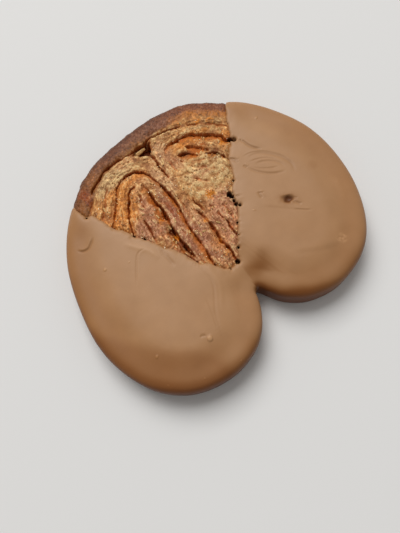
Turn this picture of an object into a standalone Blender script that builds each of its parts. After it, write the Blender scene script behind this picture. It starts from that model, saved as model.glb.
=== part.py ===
"""Palmier: a heart-shaped slice of rolled puff pastry, with both lobes dipped in milk chocolate.

The slice lies flat. +X runs across the two lobes, the cleft between them faces -Y and the outer
strip of dough (the spine) faces +Y. The origin is under the middle of the slice, on its foot.
"""
import math

import bmesh
import bpy
from mathutils import Vector

MM = 0.001

# Driving sizes, in metres.
HEIGHT = 0.0195            # the chocolate's upper edge above the foot
CROWN = 0.0008             # how far the middle of the slice is puffed above that edge
CLEFT_DIP = 0.0022         # how far the top sinks along the line behind the cleft
CLEFT_DIP_WIDTH = 0.009
SHOULDER = (0.0105, 0.0075)   # width and height of the rounded upper edge
FOOT_RADIUS = 0.0022
COAT = 0.0017              # thickness of the chocolate
GAP = 0.0003               # between the chocolate and the dough
SHOULDER_STEPS = 4
FOOT_STEPS = 2
OUTLINE_STEPS = 3          # pieces between two outline points
PUFF_CENTRE = (0.0, 0.008)
PUFF_RINGS = (0.75, 0.48, 0.22)
BARE_RIM = (-0.0515, -0.0475, 0.0465, 0.0505)   # X of the spine's bare crust: from, full from, full to, to

GROOVE_DEPTH = 0.0045
GROOVE_REACH = 0.006       # how far a groove's cutter stands clear of the dough
HOLE_TAPER = 0.6           # width of the gap between the rolls at the underside, against the top

# The chocolate's outer edge, anticlockwise from the cleft, in millimetres.
RIGHT_LOBE = [(4.6, -48.2), (9.6, -55.3), (19.5, -62.0), (34.5, -65.0), (49.5, -61.9), (62.0, -54.0),
              (71.5, -41.0), (78.3, -23.0), (80.6, -3.0), (78.4, 15.0), (71.0, 32.0), (61.5, 46.0)]
SPINE = [(50.1, 55.7), (35.8, 66.6), (19.8, 71.0), (3.7, 71.8), (-16.6, 69.6), (-32.0, 66.0),
         (-43.0, 60.0), (-53.5, 50.4)]
LEFT_LOBE = [(-63.5, 38.6), (-72.3, 23.0), (-78.1, 3.0), (-80.6, -17.0), (-78.2, -35.5), (-71.4, -51.2),
             (-61.3, -61.8), (-48.9, -67.8), (-33.3, -69.8), (-19.0, -66.4), (-10.2, -60.0), (-4.9, -52.4)]
CLEFT = [(-2.4, -46.6), (-1.4, -43.6), (0.6, -42.4), (2.4, -44.2)]

# The two dip lines, from the bare dough's tip out past the spine, in millimetres.
LEFT_DIP_LINE = [(-4.6, -27.4), (-16.0, -14.6), (-22.0, -4.2), (-30.0, 9.6), (-40.6, 26.4), (-46.4, 37.8),
                 (-50.0, 43.0), (-52.2, 50.0), (-60.0, 78.0)]
RIGHT_DIP_LINE = [(1.0, -27.0), (9.4, -15.0), (18.0, -2.2), (27.4, 14.6), (36.6, 29.2), (42.0, 37.4),
                  (46.4, 44.8), (53.0, 54.2), (68.0, 76.0)]

# The creases between the layers of dough: width and the points along each one, in millimetres.
RIM_GAP = (1.8, [(-39.4, 49.0), (-37.0, 51.8), (-33.0, 53.9), (-28.2, 56.3), (-23.8, 57.3), (-18.4, 57.9),
                 (-11.2, 57.4), (-1.2, 57.8), (5.8, 58.4), (11.8, 57.5), (16.8, 56.0), (21.3, 54.4)])
SEAM = (1.4, [(-1.8, 51.6), (-0.6, 47.6), (-1.0, 44.0), (-1.2, 40.6), (-1.0, 37.6), (-1.3, 35.0)])
LEFT_LOOP = (1.8, [(-41.2, 25.6), (-37.0, 31.8), (-31.2, 38.8), (-25.8, 44.7), (-21.8, 46.8), (-16.4, 47.5),
                   (-12.4, 45.0), (-9.3, 41.6), (-8.2, 37.0), (-7.2, 31.6), (-6.1, 23.6), (-7.0, 14.6),
                   (-8.6, 5.6), (-8.4, -2.4), (-9.2, -12.4), (-10.0, -19.4)])
LEFT_INNER_LOOP = (1.8, [(-34.4, 18.1), (-33.2, 21.1), (-31.2, 25.6), (-28.2, 30.9), (-25.2, 35.3),
                         (-22.2, 38.4), (-18.7, 39.6)])
LEFT_INNER_LEG = (1.8, [(-15.2, 36.1), (-14.0, 31.6), (-14.5, 24.6), (-14.8, 18.6), (-15.5, 11.6),
                        (-16.4, 4.6), (-16.4, -3.4), (-15.5, -11.4)])
LEFT_HEART = (1.2, [(-19.2, 33.9), (-20.0, 31.6), (-21.6, 26.1)])
LEFT_HEART_LEG = (1.2, [(-25.6, 19.4), (-26.5, 14.1), (-27.2, 8.6)])
RIGHT_LOOP = (2.3, [(6.2, 47.1), (9.8, 49.2), (15.8, 49.2), (20.8, 48.6), (25.8, 45.2), (31.8, 41.2),
                    (36.3, 36.4), (37.7, 32.6)])
RIGHT_INNER_LOOP = (1.8, [(17.3, 41.4), (20.8, 39.2), (23.3, 36.2), (25.8, 33.6)])
RIGHT_HEART = (1.6, [(10.5, 40.3), (13.8, 40.0), (16.8, 37.3), (18.8, 33.6)])
RIGHT_HEART_TAIL = (1.6, [(23.3, 31.8), (26.8, 29.9), (29.6, 25.4)])
RIGHT_CREASE = (1.2, [(9.3, 23.6), (11.3, 21.0), (14.8, 17.1)])
CENTRE_TAIL = (1.3, [(0.0, 7.1), (1.2, 1.6), (1.2, -5.4), (0.5, -12.4), (0.8, -18.4), (0.4, -23.4)])
UPPER_TAIL = (1.2, [(1.8, 15.1), (2.2, 10.6), (3.2, 6.9)])
RIGHT_TAIL = (1.2, [(8.1, 0.1), (8.8, -5.4), (8.6, -12.4)])
CREASES = {
    "rim_gap": RIM_GAP, "seam": SEAM, "left_loop": LEFT_LOOP, "left_inner_loop": LEFT_INNER_LOOP,
    "left_inner_leg": LEFT_INNER_LEG, "left_heart": LEFT_HEART, "left_heart_leg": LEFT_HEART_LEG,
    "right_loop": RIGHT_LOOP, "right_inner_loop": RIGHT_INNER_LOOP, "right_heart": RIGHT_HEART,
    "right_heart_tail": RIGHT_HEART_TAIL, "right_crease": RIGHT_CREASE, "centre_tail": CENTRE_TAIL,
    "upper_tail": UPPER_TAIL, "right_tail": RIGHT_TAIL,
}
# The open corner where the two rolls leave the spine, as three points in millimetres.
ROLL_GAP = [(-8.4, 56.8), (-1.8, 50.6), (2.8, 57.4)]

DOUGH_COLOUR = (0.30, 0.14, 0.055)
CHOCOLATE_COLOUR = (0.36, 0.215, 0.135)


def clear_scene():
    """Take away whatever the open file holds."""
    for thing in list(bpy.data.objects):
        bpy.data.objects.remove(thing, do_unlink=True)


def new_collection(name):
    """A collection of the given name in the scene."""
    group = bpy.data.collections.new(name)
    bpy.context.scene.collection.children.link(group)
    return group


def smooth_loop(points, steps):
    """A closed smooth curve through the points (in millimetres), as vectors in metres."""
    knots = [Vector(point) * MM for point in points]
    count = len(knots)
    curve = []
    for index in range(count):
        before, start, end, after = (knots[(index + shift) % count] for shift in (-1, 0, 1, 2))
        for step in range(steps):
            t = step / steps
            curve.append(0.5 * (2 * start + (end - before) * t
                                + (2 * before - 5 * start + 4 * end - after) * t ** 2
                                + (3 * start - before - 3 * end + after) * t ** 3))
    return curve


def bare_rim(point):
    """1 where the spine's crust is bare, falling to 0 where the chocolate covers it."""
    start, full, last, end = BARE_RIM
    if point.y < 0:
        return 0
    return max(0, min(1, (point.x - start) / (full - start), (end - point.x) / (end - last)))


def inset_ring(loop, inset, swell):
    """The anticlockwise loop moved inwards, square to its own edge, but less by swell at the bare rim."""
    ring = []
    for before, point, after in zip(loop[-1:] + loop[:-1], loop, loop[1:] + loop[:1]):
        along = (after - before).normalized()
        ring.append(point + Vector((-along.y, along.x)) * (inset - swell * bare_rim(point)))
    return ring


def edge_profile(skin):
    """Pairs of inset and height from the foot to the top, for a slice smaller by skin all round."""
    profile = []
    for step in range(FOOT_STEPS + 1):
        turn = math.pi / 2 * step / FOOT_STEPS
        profile.append((skin + FOOT_RADIUS * (1 - math.sin(turn)), skin + FOOT_RADIUS * (1 - math.cos(turn))))
    width, height = SHOULDER
    for step in range(SHOULDER_STEPS + 1):
        turn = math.pi / 2 * step / SHOULDER_STEPS
        profile.append((skin + width * (1 - math.cos(turn)), HEIGHT - skin - height * (1 - math.sin(turn))))
    return profile


def puff(point, inward):
    """How far the top stands above its edge; inward runs from 0 at the edge to 1 in the middle."""
    valley = math.exp(-(point.x / CLEFT_DIP_WIDTH) ** 2) / (1 + math.exp((point.y + 0.022) / 0.006))
    return CROWN * inward * (2 - inward) - CLEFT_DIP * valley


def heart_slice(name, skin, group, bare_swell=0):
    """A puffed heart-shaped slice with a flat foot, smaller by skin than the chocolate's outside.

    The bare rim stands out by bare_swell from there, and the swelling dies away over the shoulder.
    """
    loop = smooth_loop(RIGHT_LOBE + SPINE + LEFT_LOBE + CLEFT, OUTLINE_STEPS)
    mesh = bmesh.new()
    rings = []
    for inset, height in edge_profile(skin):
        swell = bare_swell * (1 - (inset - skin) / SHOULDER[0])
        rings.append([mesh.verts.new((*point, height)) for point in inset_ring(loop, inset, swell)])
    centre = Vector(PUFF_CENTRE)
    top_loop = [vert.co.xy for vert in rings[-1]]
    for scale in PUFF_RINGS:
        ring = [centre + (point - centre) * scale for point in top_loop]
        rings.append([mesh.verts.new((*point, HEIGHT - skin + puff(point, 1 - scale))) for point in ring])
    for vert in rings[-1 - len(PUFF_RINGS)]:
        vert.co.z += puff(vert.co.xy, 0)
    mesh.faces.new(reversed(rings[0]))
    for lower, upper in zip(rings, rings[1:]):
        lower_edges = ring_edges(mesh, lower)
        upper_edges = ring_edges(mesh, upper)
        bmesh.ops.bridge_loops(mesh, edges=lower_edges + upper_edges)
    mesh.faces.new(rings[-1])
    bmesh.ops.triangulate(mesh, faces=[face for face in mesh.faces if len(face.verts) == 4])
    bmesh.ops.recalc_face_normals(mesh, faces=mesh.faces[:])
    return finish_mesh(name, mesh, group)


def ring_edges(mesh, ring):
    """The edges of a closed ring of vertices, made where they are missing."""
    edges = []
    for first, second in zip(ring, ring[1:] + ring[:1]):
        edges.append(mesh.edges.get((first, second)) or mesh.edges.new((first, second)))
    return edges


def finish_mesh(name, mesh, group):
    """Turn a bmesh into an object of the group."""
    data = bpy.data.meshes.new(name)
    mesh.to_mesh(data)
    mesh.free()
    thing = bpy.data.objects.new(name, data)
    group.objects.link(thing)
    return thing


def curve_mesh(name, points, half_height, closed, group):
    """A standing ribbon along the points in metres, or a prism where the curve is closed."""
    curve = bpy.data.curves.new(name, "CURVE")
    curve.dimensions = "2D"
    curve.fill_mode = "BOTH" if closed else "NONE"
    curve.extrude = half_height
    spline = curve.splines.new("POLY")
    spline.points.add(len(points) - 1)
    for knot, point in zip(spline.points, points):
        knot.co = (point[0], point[1], 0, 1)
    spline.use_cyclic_u = closed
    flat = bpy.data.objects.new(name + "_curve", curve)
    group.objects.link(flat)
    data = bpy.data.meshes.new_from_object(flat.evaluated_get(bpy.context.evaluated_depsgraph_get()))
    bpy.data.objects.remove(flat, do_unlink=True)
    mesh = bmesh.new()
    mesh.from_mesh(data)
    bpy.data.meshes.remove(data)
    bmesh.ops.remove_doubles(mesh, verts=mesh.verts[:], dist=0.00001)
    if closed:
        bmesh.ops.recalc_face_normals(mesh, faces=mesh.faces[:])
    return finish_mesh(name, mesh, group)


def as_cutter(thing):
    """Show a cutter as wires only."""
    thing.display_type = "WIRE"
    thing.hide_render = True
    return thing


def cut(target, cutter):
    """Take the cutter's space away from the target."""
    modifier = target.modifiers.new("cut_" + cutter.name, "BOOLEAN")
    modifier.operation = "DIFFERENCE"
    modifier.solver = "EXACT"
    modifier.object = cutter


def crease_cutters(name, width, points, cutters):
    """Two standing blades along a crease, one for the top of the dough and one for its underside."""
    path = [Vector(point) * MM for point in points]
    blades = []
    half = (GROOVE_DEPTH + GROOVE_REACH) / 2
    top = HEIGHT - COAT - GAP
    bottom = COAT + GAP
    for side, middle in (("top", top - GROOVE_DEPTH + half), ("under", bottom + GROOVE_DEPTH - half)):
        blade = curve_mesh(f"{name}_{side}", path, half, False, cutters)
        blade.location.z = middle
        wall = blade.modifiers.new("width", "SOLIDIFY")
        wall.thickness = width * MM
        wall.offset = 0
        wall.use_even_offset = True
        blades.append(as_cutter(blade))
    return blades


def roll_gap_cutter(cutters):
    """The open corner between the rolls and the spine, narrower towards the underside."""
    corners = [Vector(point) * MM for point in ROLL_GAP]
    middle = sum(corners, Vector((0, 0))) / len(corners)
    gap = curve_mesh("roll_gap", corners, HEIGHT, True, cutters)
    for vert in gap.data.vertices:
        if vert.co.z < 0:
            vert.co.xy = middle + (vert.co.xy - middle) * HOLE_TAPER
    gap.location.z = HEIGHT / 2
    return as_cutter(gap)


def bare_wedge_cutter(cutters):
    """The space between the two dip lines, where the chocolate leaves the dough bare."""
    corners = [Vector(point) * MM for point in RIGHT_DIP_LINE + LEFT_DIP_LINE[::-1]]
    wedge = curve_mesh("bare_wedge", corners, HEIGHT, True, cutters)
    wedge.location.z = HEIGHT / 2
    return as_cutter(wedge)


def plain_material(name, colour, roughness):
    """A Principled material of one colour."""
    finish = bpy.data.materials.new(name)
    finish.use_nodes = True
    shader = finish.node_tree.nodes["Principled BSDF"]
    shader.inputs["Base Color"].default_value = (*colour, 1)
    shader.inputs["Roughness"].default_value = roughness
    shader.inputs["Metallic"].default_value = 0
    return finish


def make_pastry(parts, cutters):
    """The baked dough: it runs through both lobes, with its layers showing between the dip lines."""
    pastry = heart_slice("pastry", COAT + GAP, parts, bare_swell=COAT + GAP)
    pastry.data.materials.append(plain_material("caramelised_pastry", DOUGH_COLOUR, 0.55))
    cut(pastry, roll_gap_cutter(cutters))
    for name, (width, points) in CREASES.items():
        for blade in crease_cutters(name, width, points, cutters):
            cut(pastry, blade)


def make_chocolate_coat(parts, cutters):
    """The chocolate: one shell over both lobes, joined between the bare dough's tip and the cleft."""
    coat = heart_slice("chocolate_coat", 0, parts)
    coat.data.materials.append(plain_material("milk_chocolate", CHOCOLATE_COLOUR, 0.35))
    cut(coat, as_cutter(heart_slice("coat_inside", COAT, cutters)))
    cut(coat, bare_wedge_cutter(cutters))


def main():
    clear_scene()
    parts = new_collection("palmier")
    cutters = new_collection("cutters")
    make_pastry(parts, cutters)
    make_chocolate_coat(parts, cutters)


main()
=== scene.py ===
"""Palmier with both lobes dipped in milk chocolate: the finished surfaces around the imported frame.

Run as a script it bakes the dough, dips the lobes, scatters what lies on them and sets the stage.
Places and sizes in tables are millimetres, and are multiplied by MM where they are used.
"""
import itertools
import math

import bmesh
import bpy
import numpy as np
from mathutils import Matrix, Vector


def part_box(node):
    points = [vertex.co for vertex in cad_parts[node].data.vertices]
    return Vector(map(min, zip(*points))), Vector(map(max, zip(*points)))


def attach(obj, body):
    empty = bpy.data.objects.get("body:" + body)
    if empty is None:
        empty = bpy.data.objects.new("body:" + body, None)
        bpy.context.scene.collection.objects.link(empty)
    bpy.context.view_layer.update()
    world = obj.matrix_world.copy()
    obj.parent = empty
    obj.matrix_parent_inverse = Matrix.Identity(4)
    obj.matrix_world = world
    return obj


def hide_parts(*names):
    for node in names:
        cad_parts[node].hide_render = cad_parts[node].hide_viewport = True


bl_info = {
    "name": "Chocolate-dipped palmier",
    "version": (1, 0, 0),
    "blender": (4, 5, 0),
    "location": "3D View > Sidebar > Palmier",
    "description": "Builds a heart-shaped puff pastry slice with chocolate-dipped lobes",
    "category": "Add Mesh",
}

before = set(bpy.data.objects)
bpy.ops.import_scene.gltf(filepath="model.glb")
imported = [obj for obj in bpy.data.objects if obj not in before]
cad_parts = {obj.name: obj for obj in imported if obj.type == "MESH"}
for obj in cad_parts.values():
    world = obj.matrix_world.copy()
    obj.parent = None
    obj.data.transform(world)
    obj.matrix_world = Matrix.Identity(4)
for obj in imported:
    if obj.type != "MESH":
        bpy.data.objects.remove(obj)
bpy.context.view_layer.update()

MM = 0.001
BODY = "root"
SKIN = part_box("chocolate_coat")[1].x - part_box("pastry")[1].x    # chocolate and the gap under it

# The slice's section, as in the frame.
RIM_HEIGHT = 19.5 * MM
CROWN = 0.8 * MM
SHOULDER_WIDTH = 10.5 * MM
SHOULDER_HEIGHT = 7.5 * MM
FOOT_RADIUS = 2.2 * MM
CLEFT_DIP = 2.2 * MM
CLEFT_DIP_WIDTH = 9 * MM
CLEFT_DIP_START, CLEFT_DIP_EASE = -22 * MM, 6 * MM
PUFF_CENTRE = np.array((0.0, 8.0)) * MM
WEDGE_TIP = np.array((0.0, -28.5)) * MM
DOUGH_TOP = RIM_HEIGHT - SKIN
MIDDLE = 9.8 * MM
SHOULDER_BEND = 0.9                    # below 1 the shoulder is squarer than an ellipse
LOBE_SAG = 1.7 * MM                    # how far the chocolate's top sinks towards its outer edge
SAG_BAND, SAG_EASE = (22 * MM, 7 * MM), 14 * MM   # how far in from the outer edge, and behind the dip line
BARE_RIM = (-51.5, -47.5, 46.5, 50.5)  # X of the spine's bare crust: from, full from, full to, to
CRUST_END = (13.4 * MM, 11.6 * MM)     # how far in the spine's crust has gone, and is still whole

# How finely the bodies are made: points round the outline, then rings on the top, the shoulder,
# the wall, the foot and the underside.
DOUGH_MESH = (420, (30, 8, 6, 3, 20))
CHOCOLATE_MESH = (380, (40, 12, 5, 4, 10))
# The grid over the bare dough from above.
CHART_LOW, CHART_HIGH, CHART_STEP = (-62 * MM, -38 * MM), (62 * MM, 74 * MM), 0.22 * MM

# Dip lines from the bare dough's tip out past the spine.
LEFT_DIP_LINE = [(-4.7, -27.4), (-8.2, -24.2), (-10.2, -21.2), (-13.4, -17.8), (-16.4, -14.8),
    (-19.6, -8.0), (-21.6, -2.6), (-25.8, 0.8), (-28.0, 6.4), (-31.2, 11.4), (-34.4, 15.8), (-37.0, 21.2),
    (-41.0, 25.8), (-42.4, 31.4), (-45.4, 38.4), (-48.6, 40.0), (-50.0, 43.4), (-51.4, 47.0), (-51.6, 51.4),
    (-54.0, 60.0), (-60.0, 78.0)]
RIGHT_DIP_LINE = [(0.8, -27.0), (4.6, -19.6), (8.8, -15.2), (12.8, -9.6), (15.8, -5.2), (18.0, -1.8),
    (20.6, 5.4), (25.6, 10.8), (28.8, 18.4), (31.8, 23.6), (36.4, 27.6), (39.4, 32.4), (41.8, 37.2),
    (43.8, 40.8), (45.8, 44.2), (49.2, 49.0), (53.0, 54.2), (60.0, 64.0), (68.0, 76.0)]

# Creases between the layers: width, depth, how far the layer falls off on the left and on the right
# of the crease, and the points along it.
CREASES = {
    "rim_gap": (1.3, 11.0, 0.8, 0.6, [(-39.4, 49.0), (-37.0, 51.8), (-33.0, 53.9), (-28.2, 56.3),
        (-23.8, 57.3), (-18.4, 57.9), (-11.2, 57.4), (-1.2, 57.8), (5.8, 58.4), (11.8, 57.5), (16.8, 56.0),
        (21.3, 54.4)]),
    "seam": (1.0, 5.5, 0.6, 0.9, [(-1.8, 52.2), (-0.6, 47.6), (-1.0, 44.0), (-1.2, 40.6), (-1.0, 37.0),
        (-1.4, 32.0)]),
    "left_loop_foot": (0.8, 1.8, 0.1, 1.4, [(-43.0, 22.6), (-41.2, 25.6), (-37.0, 31.8), (-32.6, 37.2),
        (-29.4, 41.0)]),
    "left_loop": (1.1, 4.4, 0.2, 1.9, [(-29.8, 40.4), (-28.2, 42.4), (-25.8, 44.7), (-21.8, 46.8),
        (-16.4, 47.5), (-12.4, 45.0), (-9.3, 41.6), (-8.2, 37.0), (-7.2, 31.6), (-6.1, 23.6), (-7.0, 14.6),
        (-8.6, 5.6), (-8.4, -2.4), (-9.2, -12.4), (-10.2, -20.9), (-10.8, -26.0)]),
    "left_inner_loop": (1.5, 4.4, 0.4, 1.2, [(-36.4, 13.6), (-34.8, 17.1), (-33.2, 21.1), (-31.2, 25.6),
        (-28.2, 30.9), (-25.2, 35.3), (-22.2, 38.4), (-18.7, 39.6)]),
    "left_inner_leg": (1.8, 5.6, 0.2, 3.0, [(-15.2, 36.6), (-14.0, 31.6), (-14.5, 24.6), (-14.8, 18.6),
        (-15.5, 11.6), (-16.4, 4.6), (-16.4, -3.4), (-15.5, -11.4)]),
    "left_heart": (1.2, 3.8, 0.4, 0.6, [(-19.6, 34.8), (-19.0, 33.1), (-20.0, 31.0), (-21.6, 26.1)]),
    "left_heart_leg": (1.1, 3.6, 0.5, 0.5, [(-25.5, 20.2), (-26.4, 15.0), (-26.6, 11.0), (-27.4, 6.0)]),
    "left_tip": (1.0, 3.0, 0.5, 0.5, [(-19.2, -6.4), (-17.6, -11.4), (-16.4, -15.4)]),
    "left_point": (0.9, 2.2, 0.5, 0.5, [(-13.6, -11.6), (-13.4, -15.4), (-13.0, -19.0)]),
    "right_loop": (0.8, 1.4, 0.1, 2.8, [(5.6, 45.9), (7.4, 47.9), (9.8, 49.2), (15.8, 49.2), (20.8, 48.7),
        (25.8, 45.2), (31.8, 41.2), (36.3, 36.4), (37.7, 32.6), (41.2, 28.8)]),
    "right_inner_loop": (1.0, 2.4, 0.1, 2.4, [(16.6, 42.0), (19.2, 40.6), (21.3, 38.4), (23.3, 35.9),
        (26.2, 33.2)]),
    "right_heart": (1.0, 2.6, 0.1, 2.4, [(9.9, 40.5), (12.8, 40.4), (15.4, 38.8), (17.2, 36.3),
        (19.2, 33.2)]),
    "right_heart_tail": (1.2, 4.4, 0.1, 1.8, [(22.8, 32.2), (25.6, 31.0), (27.8, 29.0), (29.4, 26.4),
        (30.4, 23.6)]),
    "right_pit": (1.3, 2.0, 0.5, 0.5, [(9.2, 37.3), (10.5, 35.4)]),
    "right_crease": (0.6, 0.9, 0.2, 0.4, [(8.8, 24.2), (11.3, 21.2), (14.4, 17.4)]),
    "centre_tail": (1.0, 4.2, 0.2, 1.2, [(-0.2, 8.2), (0.8, 5.0), (1.2, 0.0), (1.2, -5.4), (0.5, -12.4),
        (0.8, -18.4), (0.3, -25.2)]),
    "upper_tail": (0.9, 3.4, 0.4, 0.5, [(1.7, 15.8), (2.0, 11.6), (3.1, 6.6)]),
    "right_tail": (0.9, 3.2, 0.5, 0.5, [(8.1, 0.4), (8.5, -3.4), (8.8, -5.4), (8.7, -10.0), (8.4, -16.4)]),
    "right_nick": (0.8, 2.0, 0.4, 0.4, [(7.2, 7.0), (7.8, 4.4)]),
    "band_edge": (0.9, 1.2, 0.5, 0.7, [(24.0, 53.2), (30.0, 50.2), (35.6, 45.8), (39.4, 41.6),
        (42.6, 37.0)]),
    # Fainter ones: layer ends that opened a little.
    "left_shoulder": (0.7, 1.1, 0.3, 0.4, [(-44.0, 31.4), (-39.4, 37.6), (-34.6, 43.0), (-29.8, 47.6)]),
    "left_slope": (0.6, 0.9, 0.3, 0.4, [(-40.4, 30.6), (-36.0, 35.0), (-31.6, 40.4)]),
    "left_outer": (0.6, 0.9, 0.3, 0.4, [(-47.6, 38.2), (-44.2, 42.6), (-40.4, 45.8)]),
    "left_core": (0.6, 1.0, 0.3, 0.3, [(-20.8, 18.0), (-21.6, 13.6), (-22.4, 7.6), (-23.0, 2.4)]),
    "left_middle": (0.6, 0.9, 0.3, 0.3, [(-11.2, 22.0), (-11.4, 15.8), (-12.2, 7.0), (-12.4, -1.4)]),
    "inner_middle": (0.6, 0.8, 0.3, 0.3, [(-4.0, 20.4), (-4.6, 12.6), (-5.4, 5.6), (-5.0, -3.0)]),
    "seam_tail": (0.6, 0.9, 0.3, 0.3, [(0.3, 17.4), (-0.2, 12.6), (-1.0, 7.4)]),
    "right_fan": (0.6, 0.9, 0.3, 0.3, [(4.4, 44.0), (4.2, 38.0), (4.8, 32.0)]),
    "right_fan_inner": (0.6, 0.8, 0.3, 0.3, [(7.4, 43.0), (6.8, 37.8), (7.6, 31.4)]),
    "right_floor": (0.7, 1.0, 0.3, 0.4, [(16.0, 26.8), (18.8, 24.4), (20.4, 21.6)]),
    "right_shelf": (0.7, 1.1, 0.3, 0.4, [(14.4, 33.4), (17.4, 30.4), (21.0, 28.6)]),
    "low_right": (0.6, 1.0, 0.3, 0.3, [(12.2, 3.0), (12.6, -2.2), (12.0, -7.4)]),
}
CREASE_OPENING = 0.5                   # how far the creases are open, as a share of their width
CREASE_SHARE = 0.42                    # how deep they are pressed, as a share of their depth
CREASE_MARGIN = 14 * MM                # how far from a crease it is still felt
CREASE_FAR = 30 * MM                   # the distance given where none is near
CREASE_TAPER = 0.14                    # the share of its length in which it closes at each end
CREASE_WALL = (0.18 * MM, 0.26 * MM)   # how far its walls lean in and out
UNDER_FOLDS, UNDER_CREASES = 0.4, 0.6  # how strongly both show on the underside
# The open corner where the two rolls leave the spine.
ROLL_GAP_DEPTH = 13 * MM
ROLL_GAP = [(-9.0, 55.8), (-5.6, 53.0), (-1.8, 50.4), (0.6, 52.8), (2.4, 56.6), (-2.0, 57.6)]
# The plain floor of the right roll, broken into clods: centre and size.
ROLL_FLOOR = ((15, 22), (14, 13))
CLOD_SIZE, CLOD_HEIGHT = 3.6 * MM, 1.2 * MM
BARE_RISE = 0.5 * MM                   # how far the bare dough puffed up past the frame's
FOLD_SWELL = 0.45 * MM                 # and how far more its folds did between the creases
# Gaps where the chocolate didn't fill the creases at its edge: place and radius.
EDGE_HOLE_DEPTH = 4.5 * MM
EDGE_HOLES = [(0.3, -26.2, 1.3), (4.5, -20.8, 0.4), (8.7, -15.6, 0.3), (12.4, -10.0, 0.35),
    (19.0, -3.0, 0.8), (18.2, -1.2, 0.9), (18.2, 1.0, 0.9), (18.5, 3.3, 1.0), (18.6, 5.4, 1.2),
    (25.0, 9.8, 0.4), (38.2, 31.0, 1.1), (39.9, 29.5, 1.0), (-48.9, 39.5, 0.6), (-40.4, 25.8, 0.35),
    (-34.7, 16.0, 0.5), (-31.1, 11.4, 0.3), (-16.5, -14.4, 0.35), (-4.7, -27.6, 0.3)]


def srgb(red, green, blue):
    """A screen colour from 0 to 255, as the linear values that shaders take."""
    return tuple(((part / 255 + 0.055) / 1.055) ** 2.4 if part > 10 else part / 255 / 12.92
                 for part in (red, green, blue))


def colour_field(name, description, default):
    """A setting that holds a colour."""
    return bpy.props.FloatVectorProperty(name=name, description=description, default=default,
                                         subtype="COLOR", size=3, min=0, max=1)


def count_field(name, description, default):
    """A setting that holds a number of bits."""
    return bpy.props.IntProperty(name=name, description=description, default=default, min=0)


def length_field(name, description, default):
    """A setting that holds a length."""
    return bpy.props.FloatProperty(name=name, description=description, default=default,
                                   subtype="DISTANCE", unit="LENGTH", min=0)


class DoughSettings(bpy.types.PropertyGroup):
    """Sizes and colours of the baked dough."""

    step: length_field("Mesh step", "Spacing of the mesh on the bare dough", 0.35 * MM)
    layer_pitch: length_field("Layer pitch", "Distance between the layer ends", 1.25 * MM)
    layer_drop: length_field("Layer drop", "Height of the step at each layer end", 0.55 * MM)
    grain: length_field("Grain size", "Size of the crumbly grains", 1.4 * MM)
    grain_height: length_field("Grain height", "How far the grains stand out", 0.42 * MM)
    tan: colour_field("Tan", "Colour of the fold tops", srgb(206, 146, 86))
    amber: colour_field("Amber", "Colour of the buttery left roll", srgb(236, 150, 66))
    straw: colour_field("Straw", "Colour of the flaky right roll", srgb(188, 140, 88))
    rose: colour_field("Rose", "Colour of the folds near the tip", srgb(208, 148, 112))
    # Also laid on the ridges: partly dry flakes, partly painted highlight.
    pale_and_ridge_highlight: colour_field("Pale", "Colour of dry flakes and sugar", srgb(244, 210, 150))
    toast: colour_field("Toast", "Colour of the browner specks", srgb(128, 66, 28))
    cream: colour_field("Cream", "Colour of the plump fold between the rolls", srgb(226, 174, 124))
    mauve: colour_field("Mauve", "Colour of the darker folds near the tip", srgb(164, 102, 80))
    # Also laid where the layers fall off beside the creases: partly its own colour, partly painted shade.
    ginger_and_slope_shade: colour_field("Ginger", "Colour of the buttery walls of the folds", srgb(184, 98, 32))
    russet: colour_field("Russet", "Colour of the deep fold of the left roll", srgb(112, 54, 24))
    # Partly its own colour, partly painted shade on the slopes into the creases.
    honey_and_slope_shade: colour_field("Honey", "Colour of the upper walls of the folds", srgb(196, 122, 52))
    # Partly browner layer ends, partly painted shade on the steep walls.
    brown_and_wall_shade: colour_field("Brown", "Colour of the steep layer ends", srgb(164, 80, 24))
    rim: colour_field("Rim", "Colour of the spine's hard crust", srgb(122, 74, 48))
    rim_right: colour_field("Right rim", "Colour of the crust on the right", srgb(140, 82, 52))
    rim_left: colour_field("Left rim", "Colour of the crust on the left", srgb(150, 90, 38))
    rim_edge: colour_field("Rim edge", "Colour of the crust's outer edge", srgb(84, 46, 28))
    rim_inner: colour_field("Inner rim", "Colour of the crust's inner side", srgb(150, 94, 44))
    rim_golden: colour_field("Golden rim", "Colour of its inner side on the right", srgb(190, 118, 48))
    rim_burn: colour_field("Burn", "Colour of the burnt places on the crust", srgb(140, 66, 20))
    # Painted glints: the crust's light specks.
    rim_painted_glints: colour_field("Dust", "Colour of the crust's light specks", srgb(186, 134, 102))
    rim_speck: colour_field("Speck", "Colour of the crust's dark specks", srgb(70, 40, 28))
    # Painted shade: near black down in the gaps at the chocolate's edge.
    hole_painted_shade: colour_field("Hole", "Colour down in the gaps at the chocolate's edge", srgb(40, 18, 8))
    # Partly the sugar's own colour, partly painted shade in the hollows and beside the creases.
    caramel_and_hollow_shade: colour_field("Caramel", "Colour beside the creases", srgb(172, 84, 26))
    # Burnt sugar: partly its own colour, partly painted shade down in the creases.
    burnt: colour_field("Burnt sugar", "Colour down in the creases", srgb(136, 60, 18))
    syrup: colour_field("Syrup", "Colour of the set sugar syrup", srgb(220, 128, 22))


class ChocolateSettings(bpy.types.PropertyGroup):
    """Sizes and colours of the chocolate."""

    thickness: length_field("Thickness", "Thickness of the chocolate away from its edge", 1.4 * MM)
    edge_wander: length_field("Edge wander", "How far the dip edge wanders", 0.6 * MM)
    wave: length_field("Wave", "Height of the soft waves on the surface", 0.16 * MM)
    milk: colour_field("Milk chocolate", "Main colour", srgb(181, 137, 97))
    cocoa: colour_field("Darker chocolate", "Colour of the darker drifts", srgb(173, 128, 87))


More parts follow.
